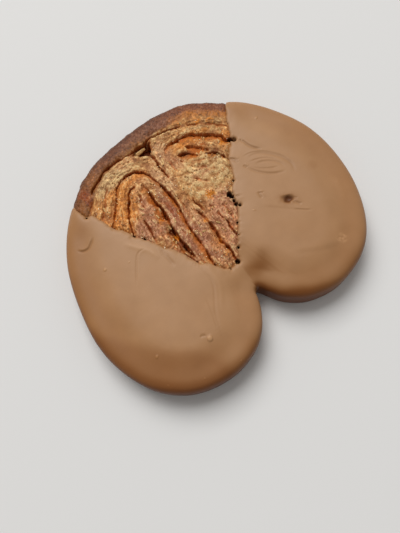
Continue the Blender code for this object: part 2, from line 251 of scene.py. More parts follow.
class ScatterSettings(bpy.types.PropertyGroup):
    """Sugar, crumbs and flakes lying on the bare dough."""

    crystals: count_field("Crystals", "How many sugar crystals", 420)
    crumbs: count_field("Crumbs", "How many crumbs", 320)
    flakes: count_field("Flakes", "How many thin flakes", 70)
    flake_thickness: length_field("Flake thickness", "Thickness of the flakes", 0.15 * MM)
    sugar: colour_field("Sugar", "Colour of the sugar crystals", srgb(248, 220, 172))
    flake: colour_field("Flake", "Colour of the flakes", srgb(222, 176, 112))
    crumb: colour_field("Crumb", "Colour of the crumbs", srgb(190, 132, 78))


class StageSettings(bpy.types.PropertyGroup):
    """The floor and the lights."""

    floor: colour_field("Floor", "Colour of the floor", srgb(232, 231, 229))
    lamp: bpy.props.FloatProperty(name="Lamp", description="Power of the overhead light", default=128.0,
                                  min=0, unit="POWER")
    fill: bpy.props.FloatProperty(name="Fill", description="Strength of the light from all round",
                                  default=0.30, min=0)


# ---------------------------------------------------------------- values over many points

def lumps(points, size, seed):
    """Smooth noise from -1 to 1 at each point, with lumps of the given size."""
    side = 64
    table = np.random.default_rng(seed).uniform(-1, 1, (side, side, side))
    cell = points / size + 500         # keeps the cells' numbers positive
    base = np.floor(cell).astype(int)
    part = cell - base
    part = part * part * (3 - 2 * part)
    total = np.zeros(points.shape[:-1])
    for corner in itertools.product((0, 1), repeat=3):
        index = (base + corner) % side
        weight = np.where(corner, part, 1 - part).prod(axis=-1)
        total += weight * table[index[..., 0], index[..., 1], index[..., 2]]
    return total


def grains(points, size, seed):
    """Rounded grains: height from 0 to 1 at each point, and a number from 0 to 1 for its grain."""
    random, side = np.random.default_rng(seed), 32
    jitter = random.uniform(0.1, 0.9, (side, side, side, 3))
    tints = random.uniform(0, 1, (side, side, side))
    cell = points / size + 480
    base = np.floor(cell).astype(int)
    nearest = np.full(points.shape[:-1], 9.0)
    tint = np.zeros(points.shape[:-1])
    for corner in itertools.product((-1, 0, 1), repeat=3):
        index = base + corner
        wrapped = index % side
        spot = index + jitter[wrapped[..., 0], wrapped[..., 1], wrapped[..., 2]]
        distance = ((spot - cell) ** 2).sum(axis=-1)
        closer = distance < nearest
        nearest = np.where(closer, distance, nearest)
        tint = np.where(closer, tints[wrapped[..., 0], wrapped[..., 1], wrapped[..., 2]], tint)
    return np.clip(1 - nearest, 0, 1), tint


def ease(low, high, value):
    """0 below low, 1 above high, smooth between; low may be the larger."""
    t = np.clip((value - low) / (high - low), 0, 1)
    return t * t * (3 - 2 * t)


def lifted(points):
    """Flat points with a height of 0."""
    return np.column_stack([points, np.zeros(len(points))])


def smooth_path(points, steps, closed=False):
    """A smooth curve through the points, with steps pieces in each span."""
    knots = np.asarray(points, float)
    if closed:
        knots = np.concatenate([knots[-1:], knots, knots[:2]])
    else:
        knots = np.concatenate([2 * knots[:1] - knots[1:2], knots, 2 * knots[-1:] - knots[-2:-1]])
    t = (np.arange(steps) / steps)[:, None, None]
    before, start, end, after = knots[:-3], knots[1:-2], knots[2:-1], knots[3:]
    curve = 0.5 * (2 * start + (end - before) * t + (2 * before - 5 * start + 4 * end - after) * t ** 2
                   + (3 * start - before - 3 * end + after) * t ** 3)
    curve = curve.transpose(1, 0, 2).reshape(-1, knots.shape[1])
    return curve if closed else np.concatenate([curve, knots[-2:-1]])


def path_distance(points, path, closed=False):
    """Each point's distance to the path, the share of the path up to there, and 1 left or -1 right."""
    starts = path if closed else path[:-1]
    ends = np.roll(path, -1, axis=0) if closed else path[1:]
    lengths = np.linalg.norm(ends - starts, axis=1)
    travelled = np.concatenate([[0], np.cumsum(lengths)])
    nearest = np.full(len(points), 1e9)
    along = np.zeros(len(points))
    side = np.zeros(len(points))
    for start, end, length, before in zip(starts, ends, lengths, travelled):
        if length == 0:
            continue
        way = (end - start) / length
        off = points - start
        t = np.clip(off @ way, 0, length)
        distance = np.hypot(off[:, 0] - t * way[0], off[:, 1] - t * way[1])
        closer = distance < nearest
        nearest[closer] = distance[closer]
        along[closer] = (before + t[closer]) / travelled[-1]
        side[closer] = np.sign(way[0] * off[closer, 1] - way[1] * off[closer, 0])
    return nearest, along, side


def inside_polygon(points, corners):
    """True for each point inside the polygon."""
    inside = np.zeros(len(points), bool)
    for (ax, ay), (bx, by) in zip(corners, np.roll(corners, -1, axis=0)):
        crosses = (ay > points[:, 1]) != (by > points[:, 1])
        reach = ax + (points[:, 1] - ay) * (bx - ax) / (by - ay if by != ay else 1e-12)
        inside ^= crosses & (points[:, 0] < reach)
    return inside


class Chart:
    """Values over the slice seen from above, on a square grid, to be read at any point."""

    def __init__(self, low, high, step):
        self.low, self.step = np.array(low), step
        counts = np.ceil((np.array(high) - self.low) / step).astype(int) + 1
        xs = self.low[0] + np.arange(counts[0]) * step
        ys = self.low[1] + np.arange(counts[1]) * step
        self.shape = (counts[0], counts[1])
        self.points = np.stack(np.meshgrid(xs, ys, indexing="ij"), axis=-1).reshape(-1, 2)

    def read(self, values, points):
        """The grid's values at the points."""
        grid = values.reshape(self.shape)
        place = np.clip((points[:, :2] - self.low) / self.step, 0, np.array(self.shape) - 1.001)
        base = place.astype(int)
        (x, y), (i, j) = (place - base).T, base.T
        return ((grid[i, j] * (1 - x) + grid[i + 1, j] * x) * (1 - y)
                + (grid[i, j + 1] * (1 - x) + grid[i + 1, j + 1] * x) * y)

    def blur(self, values, radius):
        """The grid's values, each averaged with those around it."""
        reach = int(3 * radius / self.step)
        weights = np.exp(-0.5 * (np.arange(-reach, reach + 1) * self.step / radius) ** 2)
        weights /= weights.sum()
        grid = values.reshape(self.shape)
        for axis in (0, 1):
            padded = np.pad(grid, [(reach * (axis == side),) * 2 for side in (0, 1)], mode="edge")
            grid = sum(weight * padded.take(range(start, start + self.shape[axis]), axis)
                       for start, weight in enumerate(weights))
        return grid.ravel()


# ---------------------------------------------------------------- the slice's outline and body

def bare_rim(points):
    """1 where the frame's crust is bare, falling to 0 where its chocolate covers it."""
    start, full, last, end = (place * MM for place in BARE_RIM)
    ramp = np.minimum((points[:, 0] - start) / (full - start), (end - points[:, 0]) / (end - last))
    return np.where(points[:, 1] > 0, np.clip(ramp, 0, 1), 0)


def offset_ring(loop, inset):
    """The anticlockwise loop moved inwards, square to its own edge."""
    along = np.roll(loop, -1, axis=0) - np.roll(loop, 1, axis=0)
    along /= np.linalg.norm(along, axis=1)[:, None]
    return loop + np.broadcast_to(inset, len(loop))[:, None] * np.stack([-along[:, 1], along[:, 0]], axis=1)


def even_loop(loop, count):
    """The loop again with count points, closer together where it turns."""
    step = np.roll(loop, -1, axis=0) - loop
    length = np.linalg.norm(step, axis=1)
    heading = np.arctan2(step[:, 1], step[:, 0])
    turn = np.abs((heading - np.roll(heading, 1) + math.pi) % (2 * math.pi) - math.pi)
    measure = length + SHOULDER_WIDTH * (turn + np.roll(turn, -1)) / 2
    places = np.concatenate([[0], np.cumsum(measure)])
    wanted = np.arange(count) / count * places[-1]
    closed = np.concatenate([loop, loop[:1]])
    return np.stack([np.interp(wanted, places, closed[:, axis]) for axis in (0, 1)], axis=1)


def wall_points(name, level):
    """The corners of a node in the frame that lie at the given height, seen from above."""
    points = read_points(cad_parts[name].data)
    return points[np.isclose(points[:, 2], level, rtol=0, atol=0.02 * MM), :2]


def slice_outline(count):
    """The slice's outer edge, anticlockwise, from the upright walls in the frame."""
    bare = wall_points("pastry", SKIN + FOOT_RADIUS)
    coated = wall_points("chocolate_coat", FOOT_RADIUS)
    ring = np.concatenate([bare[bare_rim(bare) == 1], coated[under_chocolate(coated) > 1.5 * MM]])
    across, up = (ring - WEDGE_TIP).T
    ring = ring[np.argsort(np.arctan2(up, across))]
    step = np.linalg.norm(ring - np.roll(ring, 1, axis=0), axis=1)
    ring = ring[step > 0.4 * MM]       # leaves out points that almost meet the one before
    return even_loop(smooth_path(ring, 12, closed=True), count)


def puff(points, inward):
    """How far the top stands above its rim; inward runs from 0 at the rim to 1 in the middle."""
    valley = np.exp(-(points[:, 0] / CLEFT_DIP_WIDTH) ** 2)
    valley /= 1 + np.exp((points[:, 1] - CLEFT_DIP_START) / CLEFT_DIP_EASE)
    return CROWN * inward * (2 - inward) - CLEFT_DIP * valley


def fan_out(ring):
    """The ring with its points shifted a little so that they follow each other round the middle."""
    off = ring - PUFF_CENTRE
    turn = np.unwrap(np.arctan2(off[:, 1], off[:, 0]))
    steady = (np.maximum.accumulate(turn) + np.minimum.accumulate(turn[::-1])[::-1]) / 2
    lap, reach = 2 * math.pi, 9
    wrapped = np.concatenate([steady[-reach:] - lap, steady, steady[:reach] + lap])
    steady = np.convolve(wrapped, np.full(2 * reach + 1, 1 / (2 * reach + 1)), "valid")
    return PUFF_CENTRE + np.hypot(*off.T)[:, None] * np.stack([np.cos(steady), np.sin(steady)], axis=1)


def slice_rings(outline, skin, swell, rows):
    """Rings of points from the middle of the top, over the shoulder and the foot, to the middle below.

    swell is how far the bare rim stands out again from its skin; rows are the rings on the top,
    the shoulder, the wall, the foot and the underside.
    """
    top_rows, shoulder_rows, wall_rows, foot_rows, under_rows = rows
    top = RIM_HEIGHT - skin
    rings = []

    def add(points, height):
        rings.append(np.column_stack([points, np.broadcast_to(height, len(points))]))

    def sag(points):
        inset = path_distance(points, outline, closed=True)[0]
        return LOBE_SAG * ease(*SAG_BAND, inset) * ease(0, SAG_EASE, under_chocolate(points))

    def bulge(points):
        return swell * (points[:, 1] > 0) * ease(1.4 * MM, -0.8 * MM, under_chocolate(points))

    shoulder = offset_ring(outline, skin + SHOULDER_WIDTH)
    shift = fan_out(shoulder) - shoulder
    shoulder += shift
    for scale in np.linspace(0, 1, top_rows + 1):
        points = PUFF_CENTRE + (shoulder - PUFF_CENTRE) * scale
        add(points, top + puff(points, 1 - scale) - sag(points))
    for turn in np.linspace(math.pi / 2, 0, shoulder_rows + 1)[1:]:
        share, rise = 1 - math.cos(turn) ** SHOULDER_BEND, math.sin(turn) ** SHOULDER_BEND
        inset = skin + SHOULDER_WIDTH * share
        points = offset_ring(outline, inset)
        points = offset_ring(outline, inset - bulge(points) * (1 - share)) + shift * share ** 2
        add(points, top - SHOULDER_HEIGHT * (1 - rise) + (puff(points, 0) - sag(points)) * rise ** 2)
    wall = offset_ring(outline, skin - bulge(offset_ring(outline, skin)))
    for height in np.linspace(top - SHOULDER_HEIGHT, skin + FOOT_RADIUS, wall_rows + 1)[1:]:
        add(wall, height)
    for turn in np.linspace(0, math.pi / 2, foot_rows + 1)[1:]:
        foot = offset_ring(wall, FOOT_RADIUS * (1 - math.cos(turn)))
        add(foot, skin + FOOT_RADIUS * (1 - math.sin(turn)))
    for scale in np.linspace(1, 0, under_rows + 1)[1:]:
        add(PUFF_CENTRE + (foot - PUFF_CENTRE) * scale, skin)
    return np.array(rings)


def slice_body(name, rings):
    """A closed body skinned over the rings."""
    rows, columns = rings.shape[:2]
    mesh = bmesh.new()
    bmesh.ops.create_grid(mesh, x_segments=columns, y_segments=rows - 1, size=1)
    wrapped = np.concatenate([rings, rings[:, :1]], axis=1).reshape(-1, 3)
    for vert, place in zip(mesh.verts, wrapped):
        vert.co = place
    bmesh.ops.remove_doubles(mesh, verts=mesh.verts[:], dist=0.005 * MM)
    bmesh.ops.recalc_face_normals(mesh, faces=mesh.faces[:])
    return finish_mesh(name, mesh)


def finish_mesh(name, mesh):
    """Turn a bmesh into an object at the origin."""
    data = bpy.data.meshes.new(name)
    mesh.to_mesh(data)
    mesh.free()
    thing = bpy.data.objects.new(name, data)
    bpy.context.scene.collection.objects.link(thing)
    return thing


def read_points(data, kind="co"):
    """The mesh's points as an array; kind "normal" gives their normals."""
    values = np.empty(len(data.vertices) * 3, np.float32)
    data.vertices.foreach_get(kind, values)
    return values.reshape(-1, 3).astype(float)


def write_points(data, points):
    """Move the mesh's points."""
    data.vertices.foreach_set("co", points.astype(np.float32).ravel())
    data.update()


def write_colours(data, name, colours):
    """Store a colour for each point of the mesh."""
    layer = data.attributes.new(name, "FLOAT_COLOR", "POINT")
    values = np.column_stack([colours, np.ones(len(colours))])
    layer.data.foreach_set("color", values.astype(np.float32).ravel())


def write_values(data, name, values):
    """Store a number for each point of the mesh."""
    layer = data.attributes.new(name, "FLOAT", "POINT")
    layer.data.foreach_set("value", values.astype(np.float32))


def apply_modifiers(thing):
    """Make what the modifiers give the object's own mesh."""
    made = thing.evaluated_get(bpy.context.evaluated_depsgraph_get())
    data = bpy.data.meshes.new_from_object(made)
    old = thing.data
    thing.modifiers.clear()
    thing.data = data
    data.name = old.name
    bpy.data.meshes.remove(old)


def remesh(thing, step):
    """Cover the closed body with an even mesh of the given spacing."""
    modifier = thing.modifiers.new("even", "REMESH")
    modifier.mode = "VOXEL"
    modifier.voxel_size = step
    modifier.use_smooth_shade = True
    apply_modifiers(thing)


def weigh(thing, name, weights):
    """Store weights from 0 to 1 in a vertex group."""
    group = thing.vertex_groups.new(name=name)
    levels = np.round(weights * 20).astype(int)
    for level in np.unique(levels):
        group.add(np.where(levels == level)[0].tolist(), level / 20, "REPLACE")


# ---------------------------------------------------------------- materials

class Nodes:
    """A short way to add nodes to a material."""

    def __init__(self, name):
        self.material = bpy.data.materials.new(name)
        self.material.use_nodes = True
        self.tree = self.material.node_tree
        self.shader = self.tree.nodes["Principled BSDF"]

    def add(self, kind, settings=None, **inputs):
        """A node with its settings, and inputs given as numbers or as another node's output."""
        node = self.tree.nodes.new(kind)
        for key, value in (settings or {}).items():
            setattr(node, key, value)
        for key, value in inputs.items():
            self.set(node.inputs[int(key[1:]) if key[0] == "i" and key[1:].isdigit() else key], value)
        return node

    def set(self, socket, value):
        """Link an output to the socket, or set its number."""
        if isinstance(value, bpy.types.NodeSocket):
            self.tree.links.new(value, socket)
        else:
            socket.default_value = value

    def math(self, operation, first, second=0.0, third=0.0):
        """The output of a Math node."""
        return self.add("ShaderNodeMath", {"operation": operation}, i0=first, i1=second, i2=third).outputs[0]

    def mix(self, factor, first, second, blend="MIX"):
        """The output of a colour Mix node."""
        node = self.add("ShaderNodeMix", {"data_type": "RGBA", "blend_type": blend})
        for place, value in ((0, factor), (6, first), (7, second)):
            if not isinstance(value, bpy.types.NodeSocket) and not isinstance(value, float):
                value = (*value[:3], 1)
            self.set(node.inputs[place], value)
        return node.outputs[2]

    def ramp(self, factor, stops):
        """The output of a ramp through grey values at places from 0 to 1."""
        node = self.add("ShaderNodeValToRGB", i0=factor)
        while len(node.color_ramp.elements) < len(stops):
            node.color_ramp.elements.new(0.5)
        for element, (place, grey) in zip(node.color_ramp.elements, stops):
            element.position = place
            element.color = (grey, grey, grey, 1)
        return node.outputs[0]

    def attribute(self, name, output="Color"):
        """A value that the mesh carries at its points."""
        return self.add("ShaderNodeAttribute", {"attribute_name": name}).outputs[output]

    def noise(self, scale, detail=2.0, rough=0.5):
        """A noise of lumps per metre, read in the object's own place."""
        place = self.add("ShaderNodeTexCoord").outputs["Object"]
        return self.add("ShaderNodeTexNoise", Vector=place, Scale=scale, Detail=detail,
                        Roughness=rough).outputs["Fac"]

    def cells(self, scale):
        """Cells of the given number per metre: distance to the middle, and a colour for each."""
        place = self.add("ShaderNodeTexCoord").outputs["Object"]
        return self.add("ShaderNodeTexVoronoi", Vector=place, Scale=scale).outputs

    def surface(self, tone, rough, specular=0.5, height=None, strength=1.0, depth=MM):
        """Finish the material with its colour, roughness and shine, and small bumps if it has a height."""
        inputs = self.shader.inputs
        self.set(inputs["Base Color"], tone)
        self.set(inputs["Roughness"], rough)
        self.set(inputs["Specular IOR Level"], specular)
        if height:
            bump = self.add("ShaderNodeBump", Strength=strength, Distance=depth, Height=height)
            self.set(inputs["Normal"], bump.outputs[0])
        return self.material


def pastry_material():
    """Baked dough: sugar grains and toasted specks over the colour that each point carries."""
    nodes = Nodes("caramelised_pastry")
    coarse, fine = nodes.cells(900.0), nodes.cells(2200.0)
    speck = nodes.ramp(coarse["Color"], [(0.0, 0.6), (0.35, 0.95), (0.8, 1.05), (1.0, 2.1)])
    fine_speck = nodes.ramp(fine["Color"], [(0.0, 0.7), (0.5, 1.0), (1.0, 1.4)])
    tone = nodes.mix(0.6, nodes.attribute("tone"), speck, "MULTIPLY")
    tone = nodes.mix(0.5, tone, fine_speck, "MULTIPLY")
    rough = nodes.math("MULTIPLY_ADD", nodes.attribute("gloss", "Fac"), -0.38, 0.62)
    height = nodes.math("MULTIPLY", fine["Distance"], -0.5)
    height = nodes.math("MULTIPLY_ADD", coarse["Distance"], -0.9, height)
    return nodes.surface(tone, rough, specular=0.22, height=height, strength=0.6, depth=0.24 * MM)


def chocolate_material(settings):
    """Set milk chocolate: soft drifts of shade and a satin surface."""
    nodes = Nodes("milk_chocolate")
    drift = nodes.ramp(nodes.noise(26.0, 3.0, 0.55), [(0.35, 0.0), (0.7, 1.0)])
    tone = nodes.mix(drift, tuple(settings.milk), tuple(settings.cocoa))
    # The marks' painted highlight and shade, times the painted shade of the slopes and walls.
    tone = nodes.mix(1.0, tone, nodes.attribute("mark_and_painted_shade"), "MULTIPLY")
    cloud = nodes.ramp(nodes.noise(95.0, 3.0, 0.55), [(0.3, 0.955), (0.7, 1.03)])
    tone = nodes.mix(1.0, tone, cloud, "MULTIPLY")
    rough = nodes.math("MULTIPLY_ADD", nodes.noise(55.0, 3.0, 0.6), 0.14, 0.40)
    height = nodes.math("MULTIPLY_ADD", nodes.noise(900.0, 2.0, 0.5), 0.10, nodes.noise(130.0, 3.0, 0.5))
    return nodes.surface(tone, rough, specular=0.3, height=height, strength=0.16, depth=0.4 * MM)


# ---------------------------------------------------------------- the dough

def under_chocolate(points):
    """How far each point is behind the smooth dip edge; negative on the bare dough."""
    left, right = (smooth_path(np.array(line) * MM, 6) for line in (LEFT_DIP_LINE, RIGHT_DIP_LINE))
    corners = np.concatenate([right, left[::-1]])
    distance = path_distance(points[:, :2], corners, closed=True)[0]
    return np.where(inside_polygon(points[:, :2], corners), -distance, distance)


def hole_distance(points):
    """How far each point is outside the nearest gap at the chocolate's edge; negative inside it."""
    ragged = 0.45 * MM * lumps(lifted(points[:, :2]), 1.6 * MM, 63)
    places = points[:, :2] / MM
    away = [np.linalg.norm(places - (x, y), axis=1) - radius for x, y, radius in EDGE_HOLES]
    return np.min(away, axis=0) * MM + ragged


def in_hole(points, grow=0.0):
    """1 inside the gaps at the chocolate's edge, 0 outside them; grow makes them wider."""
    soft = 0.35 * MM
    return ease(grow + soft, grow - soft, hole_distance(points))


def crease_fields(points, wide):
    """Depth of the creases, how far layers fall off beside them, and the distance to the nearest one.

    wide is the width of the creases at each point, as a share of what the table gives.
    """
    depth, fall = np.zeros(len(points)), np.zeros(len(points))
    near = np.full(len(points), CREASE_FAR)
    for width, deep, left_fall, right_fall, knots in CREASES.values():
        path = smooth_path(np.array(knots) * MM, 4)
        low, high = path.min(axis=0) - CREASE_MARGIN, path.max(axis=0) + CREASE_MARGIN
        box = ((points > low) & (points < high)).all(axis=1)
        distance, along, side = path_distance(points[box], path)
        taper = np.clip(np.minimum(along, 1 - along) / CREASE_TAPER, 0, 1) ** 0.5
        half = CREASE_OPENING * width * MM / 2 * wide[box] * (0.25 + 0.75 * taper)
        wall = ease(half + CREASE_WALL[1], half - CREASE_WALL[0], distance)
        beyond = np.clip(distance - half, 0, 1)
        drop = np.where(side > 0, left_fall, right_fall) * MM
        slope = drop * np.exp(-beyond / (1.2 * MM + 0.6 * drop))
        strength = (0.3 + 0.7 * taper) * (0.35 + 0.65 * np.clip(wide[box], 0, 1.4))
        depth[box] = np.maximum(depth[box], CREASE_SHARE * deep * MM * wall * strength)
        fall[box] = np.maximum(fall[box], slope * strength)
        near[box] = np.minimum(near[box], beyond)
    return depth, fall, near


def cover_fade(reach):
    """1 on the bare dough, falling to 0 a little way under the chocolate."""
    return ease(3.5 * MM, MM, reach)


def open_creases(places):
    """From above: depth of the creases and gaps, how far the layers fall beside them, distance to them."""
    flat = lifted(places)
    warp = np.stack([0.5 * lumps(flat, 6.5 * MM, seed) + 0.3 * lumps(flat, 2.1 * MM, seed + 1)
                     + 0.2 * lumps(flat, 0.9 * MM, seed + 2) for seed in (11, 111)], axis=1) * MM
    wide = np.clip(1 + 0.6 * lumps(flat, 5.5 * MM, 15) + 0.5 * lumps(flat, 2.2 * MM, 16), 0.2, 2)
    depth, fall, near = crease_fields(places + warp, wide)
    gap = np.array(ROLL_GAP) * MM
    inward = path_distance(places + warp, gap, closed=True)[0]
    inward *= np.where(inside_polygon(places + warp, gap), 1, -1)
    depth = np.maximum(depth, ROLL_GAP_DEPTH * ease(-0.4 * MM, 0.4 * MM, inward))
    depth = np.maximum(depth, EDGE_HOLE_DEPTH * in_hole(places))
    fall = np.maximum(fall, 0.8 * MM * np.exp(np.minimum(inward, 0) / (1.2 * MM)))
    return warp, depth, fall, np.minimum(near, np.clip(-inward, 0, 1))


def tear_layers(places, near, settings):
    """The torn layer ends that run along the creases: their height, the threads and the plates."""
    flat = lifted(places)
    sway = 0.5 * lumps(flat, 8 * MM, 31) + 0.3 * lumps(flat, 3 * MM, 32)
    saw = np.mod(near / settings.layer_pitch + sway, 1)
    steps = (saw - 0.5) * (1 - ease(0.8, 1.0, saw)) * ease(-0.7, 0.3, lumps(flat, 4.5 * MM, 33))
    stretched = np.column_stack([places * 0.12, near])
    threads = lumps(stretched, 0.5 * MM, 34) + 0.6 * lumps(stretched, 0.28 * MM, 35)
    plates = grains(stretched * (2.6, 2.6, 1.0), 0.75 * MM, 36)[1] - 0.5
    return settings.layer_drop * steps + (0.16 * threads + 0.42 * plates) * MM, threads, plates


def chart_dough(outline, settings):
    """The bare dough from above: its creases, folds and layer ends, as heights and helping values."""
    chart = Chart(CHART_LOW, CHART_HIGH, CHART_STEP)
    places, flat = chart.points, lifted(chart.points)
    warp, depth, fall, near = open_creases(places)

    reach = under_chocolate(places)
    bare = ease(0.2 * MM, -2.0 * MM, reach)
    cover = cover_fade(reach)
    edge = path_distance(places, outline, closed=True)[0]
    rim = ease(*CRUST_END, edge + 0.6 * MM * lumps(flat, 3 * MM, 17))
    inner = ease(0.5 * MM, 4 * MM, edge)

    centre, size = ROLL_FLOOR
    floor = np.linalg.norm((places / MM - centre) / size, axis=1)
    layered = (0.25 + 0.75 * ease(0.8, 1.3, floor)) * (1 - rim)
    fine, threads, plates = tear_layers(places, near, settings)
    fine *= layered
    clod = grains(flat + lifted(warp), CLOD_SIZE, 37)[0] * ease(1.25, 0.8, floor)

    folds = FOLD_SWELL * (1 - np.exp(-near / (1.2 * MM))) * (1 - 0.5 * rim)
    swell = 0.45 * MM * lumps(flat, 10 * MM, 21) + 0.35 * MM * lumps(flat, 4.2 * MM, 22)
    large = (folds + swell + BARE_RISE - fall) * inner * bare + CLOD_HEIGHT * clod * bare
    large += 0.35 * MM * ease(-5 * MM, 0, reach) * cover * (places[:, 0] > 0)
    height = large - depth * cover + 0.5 * fine * bare
    return chart, {"large": large, "depth": depth * cover, "fine": fine, "near": near, "rim": rim,
                   "threads": threads, "plates": plates, "layered": layered, "edge": edge, "fall": fall,
                   "clod": clod, "hollow": chart.blur(height, 1.0 * MM) - height,
                   "broad": chart.blur(height, 3.0 * MM) - height}


def press_folds(thing, chart, fields):
    """Press the creases and folds into the dough's top and, more weakly, its underside."""
    points = read_points(thing.data)
    upper = ease(MIDDLE, MIDDLE + 4 * MM, points[:, 2])
    lower = ease(MIDDLE, MIDDLE - 4 * MM, points[:, 2])
    large, depth = (chart.read(fields[name], points) for name in ("large", "depth"))
    points[:, 2] += upper * (large - depth) - lower * (UNDER_FOLDS * large - UNDER_CREASES * depth)
    write_points(thing.data, points)


def refine_bare(thing):
    """Split the faces of the bare dough: once all round, and once more on its top."""
    for floor in (0, MIDDLE - MM):
        points = read_points(thing.data)
        split_faces(thing.data, (under_chocolate(points) < 2.6 * MM) & (points[:, 2] > floor))
    smoothing = thing.modifiers.new("even", "SMOOTH")
    smoothing.factor = 0.5
    smoothing.iterations = 4
    apply_modifiers(thing)
    thing.data.shade_smooth()


def roughen_dough(thing, chart, fields, settings):
    """Raise the layer ends, threads, crumbly grains and the rough crust out of the bare dough."""
    points, normals = read_points(thing.data), read_points(thing.data, "normal")
    reach = under_chocolate(points)
    open_part = reach < 2.5 * MM
    spots, around = points[open_part], normals[open_part]
    rim = chart.read(fields["rim"], spots)
    bare = ease(1.2 * MM, -0.8 * MM, reach[open_part])
    dome, tint = grains(spots, settings.grain, 41)
    small, small_tint = grains(spots, 0.75 * MM, 43)
    rough = settings.grain_height * (dome - 0.5) * (1 - 0.2 * rim)
    rough += (0.18 + 0.12 * rim) * MM * (small - 0.5)
    rough += 0.22 * MM * lumps(spots, 2.4 * MM, 45) * (1 - 0.4 * rim)
    rough += 0.35 * MM * lumps(spots, 4 * MM, 46) * rim
    push = (chart.read(fields["fine"], spots) * np.abs(around[:, 2]) + rough) * bare
    points[open_part] += around * push[:, None]
    write_points(thing.data, points)
    inside_rim = ease(9 * MM, 11 * MM, chart.read(fields["edge"], points))
    detail = {"tint": np.full(len(points), 0.5), "small": np.full(len(points), 0.5),
              "steep": ease(0.80, 0.45, normals[:, 2]) * (points[:, 2] > MIDDLE) * inside_rim}
    detail["tint"][open_part] = tint
    detail["small"][open_part] = small_tint
    return detail


TONE_WANDER = 2.5 * MM                 # how far the edges of the coloured places wander
# Where the dough's colour changes: place, size, colour and strength.
DOUGH_PATCHES = [
    ((-34.0, 36.0), (16, 20), "amber", 0.85),
    ((-16.0, 42.0), (9, 6), "amber", 1.0),
    ((-14.0, 39.0), (8, 5), "cream", 0.6),
    ((-26.0, 50.0), (14, 6), "straw", 0.8),
    ((-8.0, 51.0), (7, 6), "straw", 0.7),
    ((-14.0, 54.0), (8, 4), "cream", 0.45),
    ((17.0, 23.0), (17, 17), "straw", 0.75),
    ((32.0, 46.0), (13, 6), "straw", 1.0),
    ((8.0, 54.5), (10, 4), "straw", 0.8),
    ((22.0, 44.5), (13, 4), "amber", 0.9),
    ((37.0, 34.0), (5, 5), "amber", 0.8),
    ((-20.0, 25.0), (5, 9), "rose", 0.85),
    ((-26.0, 15.0), (8, 9), "rose", 0.9),
    ((-13.0, 3.0), (13, 22), "rose", 0.9),
    ((0.0, -10.0), (14, 16), "rose", 0.8),
    ((13.0, 2.0), (9, 12), "rose", 0.8),
    ((-8.0, 27.0), (3, 8), "mauve", 0.7),
    ((-9.5, 12.0), (4, 12), "mauve", 0.95),
    ((-10.5, -4.0), (4, 10), "mauve", 0.5),
    ((-4.0, 34.0), (5, 13), "cream", 0.9),
    ((4.0, 45.0), (6, 9), "cream", 0.9),
    ((7.0, 38.0), (4, 8), "cream", 0.8),
    ((-2.5, 5.0), (4, 12), "cream", 0.45),
    ((20.5, 37.2), (6, 3.4), "ginger_and_slope_shade", 1.0),
    ((-38.0, 33.0), (5, 7), "ginger_and_slope_shade", 0.5),
    ((27.0, 20.0), (7, 12), "toast", 0.2),
    ((-27.0, 50.0), (14, 6), "pale_and_ridge_highlight", 0.6),
    ((-39.0, 39.0), (7, 10), "pale_and_ridge_highlight", 0.25),
    ((24.0, 14.5), (6, 4), "pale_and_ridge_highlight", 0.2),
    ((14.0, 25.0), (7, 5), "rose", 0.35),
    ((22.0, 22.0), (5, 5), "toast", 0.2),
    ((-1.0, -11.0), (4, 9), "amber", 0.35),
]
# Valleys where sugar ran together and browned: centre, size and colour.
SUGAR_VALLEYS = [((-17.6, 4.0), (3.2, 9), "russet"), ((-17.2, -6.0), (3.8, 8), "russet"),
                 ((20.5, 37.0), (6, 3.4), "ginger_and_slope_shade"), ((26.5, 28.5), (4, 4), "russet"),
                 ((14.6, 38.4), (3, 2), "russet")]
# Burnt places on the spine's crust: centre and size.
CRUST_BURNS = [((-43.8, 53.0), (2.2, 4.5)), ((-42.4, 48.6), (3.2, 5.5))]
# Places where syrup set in amber pools: centre and size.
SYRUP_SPOTS = [((-1.6, -11.6), 2.8), ((-2.2, -18.6), 2.8), ((-18.8, 14.4), 2.0), ((0.0, 1.4), 2.2),
               ((10.6, 11.0), 3.2), ((-18.0, 2.4), 2.8), ((37.0, 47.6), 3.0), ((-38.0, 32.0), 3.2),
               ((21.0, 57.2), 2.6), ((31.0, 52.2), 3.2), ((33.5, 31.6), 2.4), ((24.6, 29.4), 2.0)]


def patch(points, centre, size):
    """A soft spot: 1 at the centre, falling to 0 at the size; both in millimetres."""
    away = np.linalg.norm((points[:, :2] / MM - centre) / size, axis=1)
    return ease(1.2, 0.5, away)


def blend(under, over, amount):
    """Colours part of the way from one to the other."""
    return under + (np.asarray(over) - under) * np.asarray(amount)[:, None]


def lay_colours(tone, settings, layers):
    """Lay the named colours over the tone one after another, each by its amount at every point."""
    for name, amount in layers:
        tone = blend(tone, getattr(settings, name), amount)
    return tone


